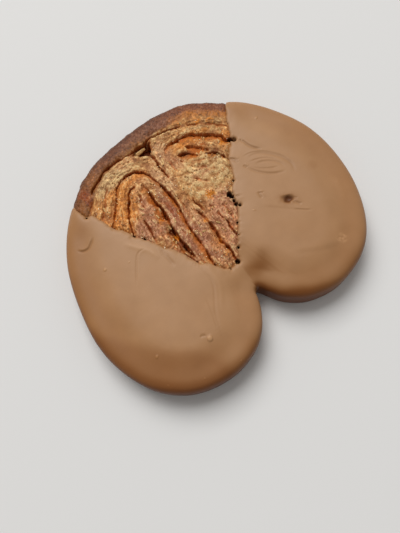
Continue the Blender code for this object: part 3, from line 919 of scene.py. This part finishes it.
def crust_tones(points, edge, drift, mottle, detail, settings):
    """The colour of the spine's crust at each point; edge is the distance from the outer edge."""
    across, wander = points[:, 0], points + (drift * TONE_WANDER)[:, None]
    side = across + 5 * MM * drift
    inside = ease(6.5 * MM, 10 * MM, edge + 1.5 * MM * mottle)
    speckle = 1.1 * (detail["small"] - 0.5) + 0.7 * (detail["tint"] - 0.5)
    speckle += 0.5 * lumps(points, 1.6 * MM, 55)
    burnt = np.clip(1 - speckle, 0, 0.95)
    return lay_colours(np.tile(np.array(settings.rim), (len(points), 1)), settings, [
        ("rim_right", ease(2 * MM, 32 * MM, side) * 0.9),
        ("rim_left", ease(-20 * MM, -36 * MM, side) * 0.8),
        ("rim_edge", ease(8 * MM, MM, edge + 0.8 * MM * drift) * 0.7),
        ("rim_golden", inside * ease(12 * MM, 30 * MM, across) * 0.9),
        ("rim_inner", inside * ease(10 * MM, -6 * MM, across) * 0.7),
        *(("rim_burn", patch(wander, *place) * burnt) for place in CRUST_BURNS),
        # Painted glints: light specks over the crust.
        ("rim_painted_glints", ease(0.2, 0.8, speckle) * 0.32),
        ("rim_speck", ease(0.1, 0.8, -speckle) * 0.55)])


def dough_tones(points, chart, fields, detail, settings):
    """The colour of each point of the dough, and how glossy its sugar is."""
    read = {name: chart.read(values, points) for name, values in fields.items()}
    drift = lumps(points, 6 * MM, 51)
    mottle = 0.5 * lumps(points, 2.4 * MM, 52) + 0.35 * lumps(points, 1.1 * MM, 53)
    mottle += 0.6 * (detail["tint"] - 0.5) + 0.8 * (detail["small"] - 0.5)
    mottle += (0.6 * read["threads"] + 1.1 * read["plates"]) * read["layered"] + 1.1 * (read["clod"] - 0.35)
    wander = points + (drift * TONE_WANDER)[:, None]

    # What lies flat: the coloured places, the light and dark mottling, and the crust.
    tone = lay_colours(np.tile(np.array(settings.tan), (len(points), 1)), settings, [
        *((name, patch(wander, centre, size) * strength) for centre, size, name, strength in DOUGH_PATCHES),
        ("pale_and_ridge_highlight", np.clip(mottle, 0, 1) * 0.75),
        ("toast", np.clip(-mottle, 0, 1) * 0.7)])
    rim, crumb = read["rim"], 1 - read["rim"]
    tone = blend(tone, crust_tones(points, read["edge"], drift, mottle, detail, settings), rim)

    # What the shape gives: browner walls, creases and hollows, partly painted shade; paler ridges, partly
    # painted highlight; and pools of syrup.
    upper = points[:, 2] > MIDDLE
    hollow = np.where(upper, read["hollow"], 0.3 * MM + 0.5 * read["depth"]) / MM
    broad = np.where(upper, read["broad"], 0) / MM
    sunk = np.clip(ease(0.05, 0.7, hollow) + 0.6 * ease(0.3, 1.4, broad), 0, 1) * (1 - 0.55 * rim)
    beside = np.exp(-read["near"] / (0.9 * MM)) * crumb * np.clip(0.8 + 0.5 * drift, 0, 1)
    ran_in = np.clip(0.55 + sunk + 0.3 * drift, 0, 0.95)
    proud = ease(0.05, 0.6, -hollow) * crumb * np.clip(0.5 + mottle, 0, 1)
    syrup = np.max([patch(points, *place) for place in SYRUP_SPOTS], axis=0)
    syrup *= ease(-0.6, 0.4, mottle + 0.4 * drift)
    tone = lay_colours(tone, settings, [
        # Where the layers fall off: partly its own colour, partly painted shade on those slopes.
        ("honey_and_slope_shade", ease(0.3 * MM, 1.3 * MM, read["fall"]) * crumb * 0.6),
        # In the hollows and beside the creases: partly the sugar's own colour, partly painted shade.
        ("caramel_and_hollow_shade", np.clip(0.45 * sunk + 0.2 * beside, 0, 0.9)),
        # Where the layers fall off steeply: partly its own colour, partly painted shade.
        ("ginger_and_slope_shade", ease(0.6 * MM, 1.6 * MM, read["fall"]) * crumb * 0.85),
        # On the steep walls: partly browner layer ends, partly painted shade.
        ("brown_and_wall_shade", detail["steep"] * 0.6),
        # The sugar valleys, laid more strongly where the dough is sunk, which adds painted shade there.
        *((name, patch(points, centre, size) * ran_in) for centre, size, name in SUGAR_VALLEYS),
        # Burnt sugar down in the creases: partly its own colour, partly painted shade.
        ("burnt", ease(0.3 * MM, 1.5 * MM, read["depth"]) * (1 - 0.5 * rim) * 0.8),
        # On the ridges: partly dry flakes, partly painted highlight.
        ("pale_and_ridge_highlight", proud * 0.5),
        ("syrup", syrup * 0.9),
        # Painted shade: near black down in the gaps at the chocolate's edge.
        ("hole_painted_shade", in_hole(points, 0.3 * MM) * 0.9)])
    gloss = np.clip(0.35 * rim + 0.8 * syrup + 0.5 * sunk, 0, 1)
    return np.clip(tone, 0.004, 0.9), gloss


class PALMIER_OT_bake_dough(bpy.types.Operator):
    """Model the baked dough with its folds, layers and grains"""

    bl_idname = "palmier.bake_dough"
    bl_label = "Bake dough"

    def execute(self, context):
        settings = context.scene.palmier_dough
        count, rows = DOUGH_MESH
        outline = slice_outline(count)
        thing = slice_body("dough", slice_rings(outline, SKIN, SKIN, rows))
        remesh(thing, 4 * settings.step)
        refine_bare(thing)
        chart, fields = chart_dough(outline, settings)
        press_folds(thing, chart, fields)
        detail = roughen_dough(thing, chart, fields, settings)
        tone, gloss = dough_tones(read_points(thing.data), chart, fields, detail, settings)
        write_colours(thing.data, "tone", tone)
        write_values(thing.data, "gloss", gloss)
        thing.data.materials.append(pastry_material())
        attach(thing, BODY)
        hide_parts("pastry")
        return {"FINISHED"}


# ---------------------------------------------------------------- the chocolate

# How the shell's faces are split beside its edge: the width of the band, between which heights, and
# the longest edge that is left whole. The underside is coarse, so it is split more often.
EDGE_SPLITS = [(8.0, -1.0, 0.1, 1.6), (8.0, -1.0, 0.1, 1.6), (3.4, 0.1, 50.0, 0.0), (2.0, -1.0, 50.0, 0.0)]
MARK_SPLITS = (2.2, 1.0)               # the same for the marks on its top: only the width of the band
KEPT_OVERLAP = 5 * MM                  # how much of the shell over the bare wedge is kept to be cut
# The dip edge's rounding: how far back it starts and how far it drops, on the left and on the right.
LEFT_EDGE, RIGHT_EDGE = (2.4 * MM, 1.35 * MM), (1.8 * MM, 1.15 * MM)
# Where the right one meets the crust, and how much less it drops there.
CRUST_EDGE = (44 * MM, 49 * MM, 0.7 * MM)
# Where the shell is thinner beside that edge, and the share of its thickness that is left.
THIN_EDGE, THIN_SHARE = (-0.5 * MM, 2.5 * MM), 0.35


def edge_reach(points, settings):
    """How far each point of the chocolate is behind its ragged edge; negative where it is bare."""
    ragged = settings.edge_wander * (lumps(points, 3.8 * MM, 61) + 0.5 * lumps(points, 1.5 * MM, 62))
    return np.minimum(under_chocolate(points) + ragged, hole_distance(points))


def split_faces(data, chosen, longest=0.0):
    """Split the faces across the edges between chosen points that are longer than given."""
    mesh = bmesh.new()
    mesh.from_mesh(data)
    edges = [edge for edge in mesh.edges if all(chosen[vert.index] for vert in edge.verts)
             and edge.calc_length() > longest]
    bmesh.ops.subdivide_edges(mesh, edges=edges, cuts=1, use_grid_fill=True)
    mesh.to_mesh(data)
    mesh.free()


def drop_points(data, chosen):
    """Delete the chosen points and the faces on them."""
    mesh = bmesh.new()
    mesh.from_mesh(data)
    bmesh.ops.delete(mesh, geom=[vert for vert in mesh.verts if chosen[vert.index]], context="VERTS")
    mesh.to_mesh(data)
    mesh.free()


def open_wedge(thing, settings):
    """Cut the shell along its ragged edge and take away what lies over the bare wedge."""
    data = thing.data
    drop_points(data, under_chocolate(read_points(data)) < -KEPT_OVERLAP)
    for band, low, high, longest in EDGE_SPLITS:
        points = read_points(data)
        beside = np.abs(edge_reach(points, settings)) < band * MM
        level = (points[:, 2] > low * MM) & (points[:, 2] < high * MM)
        split_faces(data, beside & level, longest * MM)
    reach = edge_reach(read_points(data), settings)
    mesh = bmesh.new()
    mesh.from_mesh(data)
    bmesh.ops.triangulate(mesh, faces=[face for face in mesh.faces
                                       if any(abs(reach[vert.index]) < MM for vert in face.verts)])
    # Each edge that crosses the line gets a point on it, but not right at one of its ends.
    crossing = {}
    for edge in mesh.edges:
        start, end = (reach[vert.index] for vert in edge.verts)
        if (start < 0) != (end < 0):
            crossing[edge] = min(0.98, max(0.02, start / (start - end)))
    count = len(mesh.verts)
    bmesh.ops.subdivide_edges(mesh, edges=list(crossing), cuts=1, edge_percents=crossing)
    mesh.verts.index_update()
    bare = [vert for vert in mesh.verts if vert.index < count and reach[vert.index] < 0]
    bmesh.ops.delete(mesh, geom=bare, context="VERTS")
    mesh.to_mesh(data)
    mesh.free()


# Marks on the chocolate. Bubbles and specks: place and radius.
BUBBLES = [((-34.2, -49.4), 1.5), ((-59.7, -41.4), 0.8), ((-56.2, 9.6), 0.8), ((57.8, 33.1), 0.8),
           ((-44.2, 5.6), 0.4), ((-63.2, -55.4), 0.4), ((-47.2, -62.9), 0.4), ((-28.2, -66.4), 0.4),
           ((22.8, -9.9), 0.5)]
BUBBLE_RISE = 0.42                     # how far they stand out, as a share of the radius
# Lines drawn in it while it set: width, depth (a ridge where it is negative) and points.
SCRATCHES = [
    (0.9, 0.3, [(-37.8, -46.0), (-36.2, -46.4), (-34.8, -47.2)]),
    (1.0, 0.16, [(-33.2, 6.6), (-38.2, 6.6), (-43.2, 0.6), (-48.2, -7.4)]),
    (1.2, 0.45, [(-62.4, 27.6), (-60.4, 25.4), (-57.4, 24.6), (-55.1, 25.7), (-51.9, 28.2)]),
    (2.2, 0.3, [(-27.4, 3.0), (-27.1, -4.9), (-26.8, -10.3)]),
    (3.2, -0.28, [(-41.0, 15.9), (-36.8, 9.8), (-32.6, 4.6), (-30.6, -2.0)]),
    (1.4, 0.1, [(-17.5, -12.7), (-16.9, -21.3), (-17.4, -29.4), (-25.1, -41.7), (-30.1, -55.4)]),
    (2.4, -0.09, [(-14.6, -14.7), (-13.9, -23.3), (-14.8, -31.4), (-22.1, -42.7)]),
    (0.9, 0.1, [(-24.2, -32.4), (-26.4, -41.0), (-29.2, -49.4)]),
    (1.2, 0.4, [(40.7, 28.2), (42.6, 25.9), (43.5, 22.2), (44.8, 19.2), (47.7, 15.4)]),
    (1.5, 0.22, [(38.6, 15.9), (42.6, 15.5), (46.3, 13.6), (50.1, 9.7), (53.1, 5.6), (54.6, 1.8),
        (54.9, -1.4), (53.4, -5.8)]),
    (1.4, 0.24, [(34.9, 13.0), (35.5, 10.6), (37.1, 7.4), (39.3, 4.4), (42.5, 1.4), (45.9, -0.7),
        (49.8, -2.3)]),
    (1.3, 0.18, [(39.5, 10.4), (42.2, 9.9), (45.2, 8.4), (48.1, 6.2), (50.1, 3.6), (51.4, -0.3)]),
    (0.9, 0.14, [(36.2, 17.9), (41.6, 17.2), (47.6, 13.9), (52.4, 8.4), (55.6, 2.6)]),
    (0.9, 0.13, [(37.4, 13.6), (40.8, 12.6), (44.6, 11.0), (48.2, 8.2), (50.8, 4.6)]),
    (0.9, 0.13, [(36.9, 11.0), (38.8, 8.2), (41.8, 5.6), (45.0, 3.6), (48.6, 1.8)]),
    (1.4, 0.3, [(41.8, -17.6), (44.5, -21.8)]),
    (0.9, 0.16, [(39.6, -21.6), (43.0, -24.6), (46.6, -27.4)]),
    (3.2, 0.12, [(23.6, -39.1), (27.6, -42.0), (35.7, -46.2), (43.4, -49.3), (48.9, -48.8)]),
    (1.2, 0.35, [(31.0, -2.9), (30.2, -7.3)]),
    (1.0, 0.25, [(30.8, 20.4), (33.3, 16.4)]),
    (4.0, -0.14, [(68.4, -19.5), (67.2, -24.5), (63.5, -33.9)]),
    (1.8, 0.08, [(27.3, -10.8), (32.3, -15.3), (42.9, -24.8)]),
    (1.2, 0.45, [(30.3, 21.6), (32.4, 19.8), (33.8, 17.6)]),
    (1.2, 0.3, [(34.2, 13.8), (35.0, 11.4)]),
    (1.0, 0.25, [(31.2, -3.6), (32.6, -5.2)]),
    (1.2, 0.35, [(20.2, 2.4), (21.6, 0.6)]),
]
# The sunken spot: place, radius and depth; the way its oval lies and how far it is drawn out.
PIT = ((40.9, -15.3), 2.7, 1.9)
PIT_WAY, PIT_STRETCH = ((0.81, 0.59), (-0.59, 0.81)), (1.4, 0.9)
ROUGH_SPOT = ((49.6, -48.0), 3.0)
ROUGH_HEIGHT = 0.22 * MM
DULL_SPOTS = [((11.7, -30.1), 3.0), ((63.7, -7.7), 3.0)]
# The marks' colour, as shares of red, green and blue: painted highlight on bubbles, painted shade in lines
# and pit.
BUBBLE_PAINTED_HIGHLIGHT = (1.22, 1.27, 1.32)
LINE_PAINTED_SHADE = (0.80, 0.76, 0.70)
PIT_PAINTED_SHADE, PIT_FLOOR_PAINTED_SHADE = (0.84, 0.78, 0.70), (0.34, 0.22, 0.14)
DULL_SHADE = (0.90, 0.87, 0.83)
ROUGH_SHADE = (1.24, 1.3, 1.4)


def near_marks(points):
    """Distance to the nearest of the marks on the chocolate."""
    places = points[:, :2] / MM
    spots = [(PIT[0], 2 * PIT[1]), *BUBBLES, ROUGH_SPOT]
    away = [np.linalg.norm(places - centre, axis=1) - size for centre, size in spots]
    away += [path_distance(places, smooth_path(knots, 4))[0] - width / 2 for width, _, knots in SCRATCHES]
    return np.min(away, axis=0) * MM


def mark_chocolate(points):
    """Height of the marks on the chocolate's top, and their painted highlight and shade, with the dull and
    rough spots' colour.
    """
    places = points[:, :2] / MM
    height, shade = np.zeros(len(points)), np.ones((len(points), 3))
    for centre, radius in BUBBLES:
        away = np.linalg.norm(places - centre, axis=1) / radius
        height += BUBBLE_RISE * radius * MM * np.sqrt(np.clip(1 - away ** 2, 0, 1))
        # Painted highlight on the bubbles.
        shade = blend(shade, BUBBLE_PAINTED_HIGHLIGHT, ease(1.1, 0.5, away))
    for width, depth, knots in SCRATCHES:
        distance, along, side = path_distance(places, smooth_path(knots, 4))
        taper = np.clip(np.minimum(along, 1 - along) / 0.2, 0, 1)
        groove = np.exp(-(distance / (0.5 * width)) ** 2) * taper
        lip = np.exp(-((distance - 0.9 * width) / (0.6 * width)) ** 2) * taper * (side > 0)
        height += (0.4 * lip - groove) * depth * MM
        # Painted shade in the grooves, and painted highlight along the ridges where the depth is negative.
        shade = blend(shade, LINE_PAINTED_SHADE, groove * min(1, 1.8 * depth))
    centre, radius, depth = PIT
    away = np.linalg.norm((places - centre) @ PIT_WAY / PIT_STRETCH, axis=1) / radius
    away += 0.35 * lumps(points, 1.6 * MM, 76)
    height -= depth * MM * ease(1.2, 0.1, away)
    # Painted shade in and round the pit.
    shade = blend(shade, PIT_PAINTED_SHADE, ease(2.0, 0.8, away))
    shade = blend(shade, PIT_FLOOR_PAINTED_SHADE, ease(1.0, 0.45, away))
    for spot in DULL_SPOTS:
        shade = blend(shade, DULL_SHADE, patch(points, *spot) * 0.8)
    rough, crumble = patch(points, *ROUGH_SPOT), lumps(points, 0.9 * MM, 73)
    height += ROUGH_HEIGHT * rough * crumble
    shade = blend(shade, ROUGH_SHADE, rough * np.clip(crumble + 0.5, 0, 1))
    return height, shade


# Where the left lobe's flat top ends and the painted shade of its slope begins.
LOBE_SLOPE = [(-84.0, -6.0), (-76.0, -16.3), (-65.3, -29.5), (-52.4, -42.9), (-42.2, -50.4), (-36.1, -60.0),
              (-33.0, -74.0)]
# Beside the cleft the painted shoulder shade is left off.
CLEFT_SIDE = np.array((12, -36)) * MM  # the right lobe's edge beside the cleft, which stays light
# Level ways in which the lower edges and the foot with painted shade face.
LOWER_LEFT, LOWER = (-0.45, -0.89), (-0.2, -0.98)
# The painted shade on these parts, as shares of its red, green and blue.
SHOULDER_SHADE = (0.92, 0.87, 0.81)
LEFT_SHADE, SLOPE_SHADE, LEFT_FOOT_SHADE = (0.94, 0.89, 0.79), (0.86, 0.79, 0.71), (0.88, 0.81, 0.72)
WALL_SHADE, LOWER_SHADE = (0.62, 0.51, 0.41), (0.86, 0.79, 0.67)
FACING_DOWN_PAINTED_SHADE, CLEFT_SHADE = (0.74, 0.64, 0.46), (0.74, 0.58, 0.36)


def painted_slope_shade(points, normals, outline):
    """Painted shade on the chocolate's slopes and walls, deepest on the sides that face down, away from the
    lamp.
    """
    across, height = points[:, 0], points[:, 2]
    inset = path_distance(points[:, :2], outline, closed=True)[0]
    beside_cleft = ease(26 * MM, 10 * MM, np.linalg.norm(points[:, :2] - CLEFT_SIDE, axis=1))
    away, _, side = path_distance(points[:, :2] / MM, smooth_path(LOBE_SLOPE, 4))
    low = ease(RIM_HEIGHT - 2.5 * MM, RIM_HEIGHT - 8.5 * MM, height)
    low *= 1 - 0.6 * ease(0.2, 0.8, normals[:, 0])
    uneven = 0.08 * lumps(points, 9 * MM, 77)
    lower_left, lower = (normals[:, :2] @ way for way in (LOWER_LEFT, LOWER))
    behind_cleft = ease(40 * MM, 9 * MM, across) * (across > 0)
    facing_down = ease(0.28, 0.62, lower + uneven + 0.2 * behind_cleft)
    shade = np.ones((len(points), 3))
    for darker, amount in (
            (SHOULDER_SHADE, ease(17 * MM, 8 * MM, inset) * (1 - beside_cleft)),
            (LEFT_SHADE, ease(-40 * MM, -66 * MM, across)),
            (SLOPE_SHADE, ease(-2.5, 3.5, -side * away)),
            (WALL_SHADE, low),
            (LOWER_SHADE, ease(0.0, 0.34, lower_left + uneven)),
            (FACING_DOWN_PAINTED_SHADE, facing_down * (1 - 0.4 * ease(24 * MM, 44 * MM, across))),
            (LEFT_FOOT_SHADE, ease(0.06, 0.3, lower_left) * ease(-10 * MM, -30 * MM, across)),
            (CLEFT_SHADE, facing_down * behind_cleft)):
        shade = blend(shade, shade * darker, amount)
    return shade


def shape_chocolate(thing, outline, settings):
    """Round the dip edge down to the dough, and let the surface wave softly and carry its marks."""
    data = thing.data
    points, normals = read_points(data), read_points(data, "normal")
    reach = edge_reach(points, settings)
    left = points[:, 0] < -2 * MM
    roll, drop = (np.where(left, *sides) for sides in zip(LEFT_EDGE, RIGHT_EDGE))
    crust_start, crust_full, less = CRUST_EDGE
    drop -= less * ease(crust_start, crust_full, points[:, 1]) * ~left
    fall = drop * (1 - np.sqrt(1 - (1 - np.clip(reach / roll, 0, 1)) ** 2))
    fall += 0.35 * MM * ease(6 * MM, 0, reach) * (0.6 + 0.4 * lumps(points, 3.2 * MM, 75))
    lift = ease(1.2 * MM, 4 * MM, points[:, 2])   # the foot stays flat
    fall *= 0.2 + 0.8 * lift
    wave = settings.wave * (lumps(points, 24 * MM, 71) + 0.5 * lumps(points, 9 * MM, 72)) * lift
    top = ease(MIDDLE, MIDDLE + 4 * MM, points[:, 2])
    height, shade = mark_chocolate(points)
    points += normals * (wave - fall + height * top)[:, None]
    points[:, 2] = np.maximum(points[:, 2], 0)
    write_points(data, points)
    # Store the marks' painted highlight and shade, times the painted shade of the slopes and walls.
    shade = 1 + (shade - 1) * top[:, None]
    write_colours(data, "mark_and_painted_shade", shade * painted_slope_shade(points, normals, outline))
    return reach


class PALMIER_OT_dip_lobes(bpy.types.Operator):
    """Coat both lobes with chocolate, up to the two dip edges"""

    bl_idname = "palmier.dip_lobes"
    bl_label = "Dip lobes"

    def execute(self, context):
        settings = context.scene.palmier_chocolate
        count, rows = CHOCOLATE_MESH
        outline = slice_outline(count)
        thing = slice_body("chocolate", slice_rings(outline, 0, 0, rows))
        open_wedge(thing, settings)
        for band in MARK_SPLITS:
            points = read_points(thing.data)
            marked = (near_marks(points) < band * MM) & (points[:, 2] > MIDDLE)
            split_faces(thing.data, marked & (edge_reach(points, settings) > 1.5 * MM))
        reach = shape_chocolate(thing, outline, settings)
        weigh(thing, "thick", ease(*THIN_EDGE, reach))
        wall = thing.modifiers.new("thickness", "SOLIDIFY")
        wall.thickness = settings.thickness
        wall.offset = -1
        wall.vertex_group = "thick"
        wall.thickness_vertex_group = THIN_SHARE
        apply_modifiers(thing)
        thing.vertex_groups.clear()
        thing.data.shade_smooth()
        thing.data.materials.append(chocolate_material(settings))
        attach(thing, BODY)
        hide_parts("chocolate_coat")
        return {"FINISHED"}


# ---------------------------------------------------------------- what lies on the dough

# Where the bits are thrown, from above, and how many throws there are for each that is kept.
SCATTER_AREA = ((-55 * MM, -28 * MM), (55 * MM, 72 * MM))
TRIES_EACH = 12
THROW_HEIGHT = 30 * MM
CLEAR_OF_EDGE = 13.5 * MM              # none lies on the crust, this near to the outer edge
BIT_RISE = 0.1                         # how far a bit's middle is above the dough, as a share of its size


def bare_places(count, seed):
    """Random places on top of the bare dough, each with the way its surface faces."""
    random = np.random.default_rng(seed)
    dough = bpy.data.objects["dough"]
    tries = TRIES_EACH * count
    spots = np.column_stack([random.uniform(*SCATTER_AREA, (tries, 2)), np.full(tries, THROW_HEIGHT)])
    spots = spots[under_chocolate(spots) < -0.6 * MM]
    crust = path_distance(spots[:, :2], slice_outline(200), closed=True)[0] < CLEAR_OF_EDGE
    spots = spots[(lumps(spots, 6 * MM, seed) > -0.1) & ~crust]
    places = []
    for spot in spots:
        hit, place, facing, _ = dough.ray_cast(Vector(spot), Vector((0, 0, -1)))
        if hit and place.z > MIDDLE and facing.z > 0.5:
            places.append((place, facing))
    if len(places) < count / 2:
        raise RuntimeError(f"only {len(places)} of {count} places found on the bare dough")
    return places[:count]


def shift_points(points, off):
    """Move the points of a bmesh."""
    for point, way in zip(points, off):
        point.co += Vector(way)


def plain_material(name, colour, roughness):
    """A material of one colour, with small differences from place to place."""
    nodes = Nodes(name)
    shade = nodes.ramp(nodes.noise(700.0), [(0.3, 0.75), (0.7, 1.15)])
    return nodes.surface(nodes.mix(1.0, tuple(colour), shade, "MULTIPLY"), roughness)


def add_scattered(name, mesh, material):
    thing = finish_mesh(name, mesh)
    thing.data.materials.append(material)
    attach(thing, BODY)
    return thing


class PALMIER_OT_sprinkle_sugar(bpy.types.Operator):
    """Scatter sugar crystals over the bare dough"""

    bl_idname = "palmier.sprinkle_sugar"
    bl_label = "Sprinkle sugar"

    def execute(self, context):
        settings = context.scene.palmier_scatter
        random = np.random.default_rng(81)
        mesh = bmesh.new()
        for place, facing in bare_places(settings.crystals, 82):
            size = MM * (0.24 + 0.3 * random.random() ** 2)
            angle, axis = random.uniform(0, math.pi), Vector(random.uniform(-1, 1, 3))
            turn = Matrix.Rotation(angle, 4, axis.normalized())
            form = turn @ Matrix.Diagonal((*random.uniform(0.7, 1.2, 3), 1))
            middle = Matrix.Translation(place + facing * BIT_RISE * size)
            bmesh.ops.create_cube(mesh, size=size, matrix=middle @ form)
        add_scattered("sugar", mesh, plain_material("sugar", settings.sugar, 0.3))
        return {"FINISHED"}


class PALMIER_OT_drop_crumbs(bpy.types.Operator):
    """Scatter crumbs over the bare dough"""

    bl_idname = "palmier.drop_crumbs"
    bl_label = "Drop crumbs"

    def execute(self, context):
        settings = context.scene.palmier_scatter
        random = np.random.default_rng(84)
        mesh = bmesh.new()
        for place, facing in bare_places(settings.crumbs, 85):
            size = MM * (0.3 + 0.4 * random.random() ** 2)
            form = Matrix.Diagonal((*random.uniform(0.6, 1.3, 3), 1))
            middle = Matrix.Translation(place + facing * BIT_RISE * size)
            made = bmesh.ops.create_icosphere(mesh, subdivisions=1, radius=size, matrix=middle @ form)
            shift_points(made["verts"], random.normal(0, 0.1 * size, (len(made["verts"]), 3)))
        add_scattered("crumbs", mesh, plain_material("crumb", settings.crumb, 0.7))
        return {"FINISHED"}


# A loose flake bridging the corner between the rolls: its two ends, its width, how far below the
# dough's top it lies and the way it faces.
LONG_FLAKE = ((-10.4, 55.4), (-1.0, 56.4), 2.0, 2.2, (0.2, -0.7, 1))


def bend_flake(mesh, random, place, facing, way, length, width):
    """One thin curled flake lying at the place, along the given way."""
    across = facing.cross(way).normalized()
    along = across.cross(facing)
    turn = Matrix((along, across, facing)).transposed().to_4x4()
    made = bmesh.ops.create_grid(mesh, x_segments=6, y_segments=3, size=0.5)
    curl, twist = random.uniform(0.1, 0.35), random.uniform(-0.25, 0.25)
    for vert in made["verts"]:
        x, y, _ = vert.co
        narrow = 1 - 1.6 * x ** 2
        height = curl * (4 * x * x) * width + twist * x * y * width
        spot = Vector((x * length, y * width * narrow, height)) + Vector(random.normal(0, 0.05 * MM, 3))
        vert.co = turn @ spot + place


class PALMIER_OT_lay_flakes(bpy.types.Operator):
    """Lay thin loose flakes over the bare dough"""

    bl_idname = "palmier.lay_flakes"
    bl_label = "Lay flakes"

    def execute(self, context):
        settings = context.scene.palmier_scatter
        random = np.random.default_rng(87)
        mesh = bmesh.new()
        for place, facing in bare_places(settings.flakes, 88):
            turn = random.normal(0, 0.5) + math.pi / 2
            way = Vector((math.cos(turn), math.sin(turn), 0))
            length = MM * random.uniform(1.0, 2.6)
            bend_flake(mesh, random, place + facing * 0.15 * MM, facing, way, length, 0.4 * length)
        *ends, width, below, facing = LONG_FLAKE
        start, end = (Vector((*spot, 0)) * MM for spot in ends)
        middle = (start + end) / 2 + Vector((0, 0, DOUGH_TOP - below * MM))
        way, facing = end - start, Vector(facing).normalized()
        bend_flake(mesh, random, middle, facing, way.normalized(), way.length, width * MM)
        thing = add_scattered("flakes", mesh, plain_material("flake", settings.flake, 0.5))
        wall = thing.modifiers.new("thickness", "SOLIDIFY")
        wall.thickness = settings.flake_thickness
        wall.offset = 0
        apply_modifiers(thing)
        thing.data.shade_smooth()
        return {"FINISHED"}


# ---------------------------------------------------------------- the stage

CAMERA_PLACE = Vector((-49.9, -81.2, 258.7)) * MM
CAMERA_LOOK = Vector((0.132, 0.255, -0.958))
CAMERA_UP = Vector((0.574, 0.768, 0.283))
CAMERA_LENS = 33.77
FLOOR_SIZE = 6.0
LAMP_WAY = Vector((0.12, 0.72, 1.0)).normalized()   # from the palmier to the lamp
LAMP_DISTANCE, LAMP_SIZE = 4.0, 2.67
SKY = (1.0, 0.985, 0.965, 1)


def lay_floor(colour):
    """A plain matt floor under the palmier."""
    mesh = bmesh.new()
    bmesh.ops.create_grid(mesh, x_segments=2, y_segments=2, size=FLOOR_SIZE / 2)
    floor = finish_mesh("floor", mesh)
    floor.data.materials.append(Nodes("floor").surface((*colour, 1), 0.9))


def place_camera(scene):
    """The camera, looking down on the palmier from a little to the front."""
    look = CAMERA_LOOK.normalized()
    right = look.cross(CAMERA_UP).normalized()
    turn = Matrix((right, right.cross(look), -look)).transposed().to_4x4()
    camera = bpy.data.cameras.new("camera")
    camera.lens = CAMERA_LENS
    camera.clip_start = 0.01
    thing = bpy.data.objects.new("camera", camera)
    thing.matrix_world = Matrix.Translation(CAMERA_PLACE) @ turn
    scene.collection.objects.link(thing)
    scene.camera = thing


def light_stage(scene, settings):
    """One large soft lamp, and a weak light from all round."""
    world = bpy.data.worlds.new("studio")
    world.use_nodes = True
    background = world.node_tree.nodes["Background"].inputs
    background["Color"].default_value = SKY
    background["Strength"].default_value = settings.fill
    scene.world = world
    light = bpy.data.lights.new("soft_box", "AREA")
    light.shape = "SQUARE"
    light.size = LAMP_SIZE
    light.energy = settings.lamp
    lamp = bpy.data.objects.new("soft_box", light)
    lamp.location = LAMP_WAY * LAMP_DISTANCE
    lamp.rotation_mode = "QUATERNION"
    lamp.rotation_quaternion = LAMP_WAY.to_track_quat("Z", "Y")
    scene.collection.objects.link(lamp)
    scene.view_settings.view_transform = "Standard"


class PALMIER_OT_set_stage(bpy.types.Operator):
    """Add the floor, the lights and the camera"""

    bl_idname = "palmier.set_stage"
    bl_label = "Set stage"

    def execute(self, context):
        settings = context.scene.palmier_stage
        lay_floor(settings.floor)
        place_camera(context.scene)
        light_stage(context.scene, settings)
        return {"FINISHED"}


class PALMIER_PT_panel(bpy.types.Panel):
    """The palmier's pieces and their settings"""

    bl_label = "Palmier"
    bl_idname = "PALMIER_PT_panel"
    bl_space_type = "VIEW_3D"
    bl_region_type = "UI"
    bl_category = "Palmier"

    def draw(self, context):
        for name, group in SETTINGS.items():
            box = self.layout.box()
            for field in group.__annotations__:
                box.prop(getattr(context.scene, name), field)
        for operator in OPERATORS:
            self.layout.operator(operator.bl_idname)


OPERATORS = (PALMIER_OT_bake_dough, PALMIER_OT_dip_lobes, PALMIER_OT_sprinkle_sugar,
             PALMIER_OT_drop_crumbs, PALMIER_OT_lay_flakes, PALMIER_OT_set_stage)
SETTINGS = {"palmier_dough": DoughSettings, "palmier_chocolate": ChocolateSettings,
            "palmier_scatter": ScatterSettings, "palmier_stage": StageSettings}
CLASSES = (*SETTINGS.values(), *OPERATORS, PALMIER_PT_panel)


def register():
    """Make the settings, the operators and the panel known to Blender."""
    for item in CLASSES:
        bpy.utils.register_class(item)
    for name, group in SETTINGS.items():
        setattr(bpy.types.Scene, name, bpy.props.PointerProperty(type=group))


def unregister():
    """Take them away again."""
    for name in SETTINGS:
        delattr(bpy.types.Scene, name)
    for item in reversed(CLASSES):
        bpy.utils.unregister_class(item)


def main():
    """Make every piece and the stage."""
    register()
    bpy.ops.palmier.bake_dough()
    bpy.ops.palmier.dip_lobes()
    bpy.ops.palmier.sprinkle_sugar()
    bpy.ops.palmier.drop_crumbs()
    bpy.ops.palmier.lay_flakes()
    bpy.ops.palmier.set_stage()


if __name__ == "__main__":
    main()
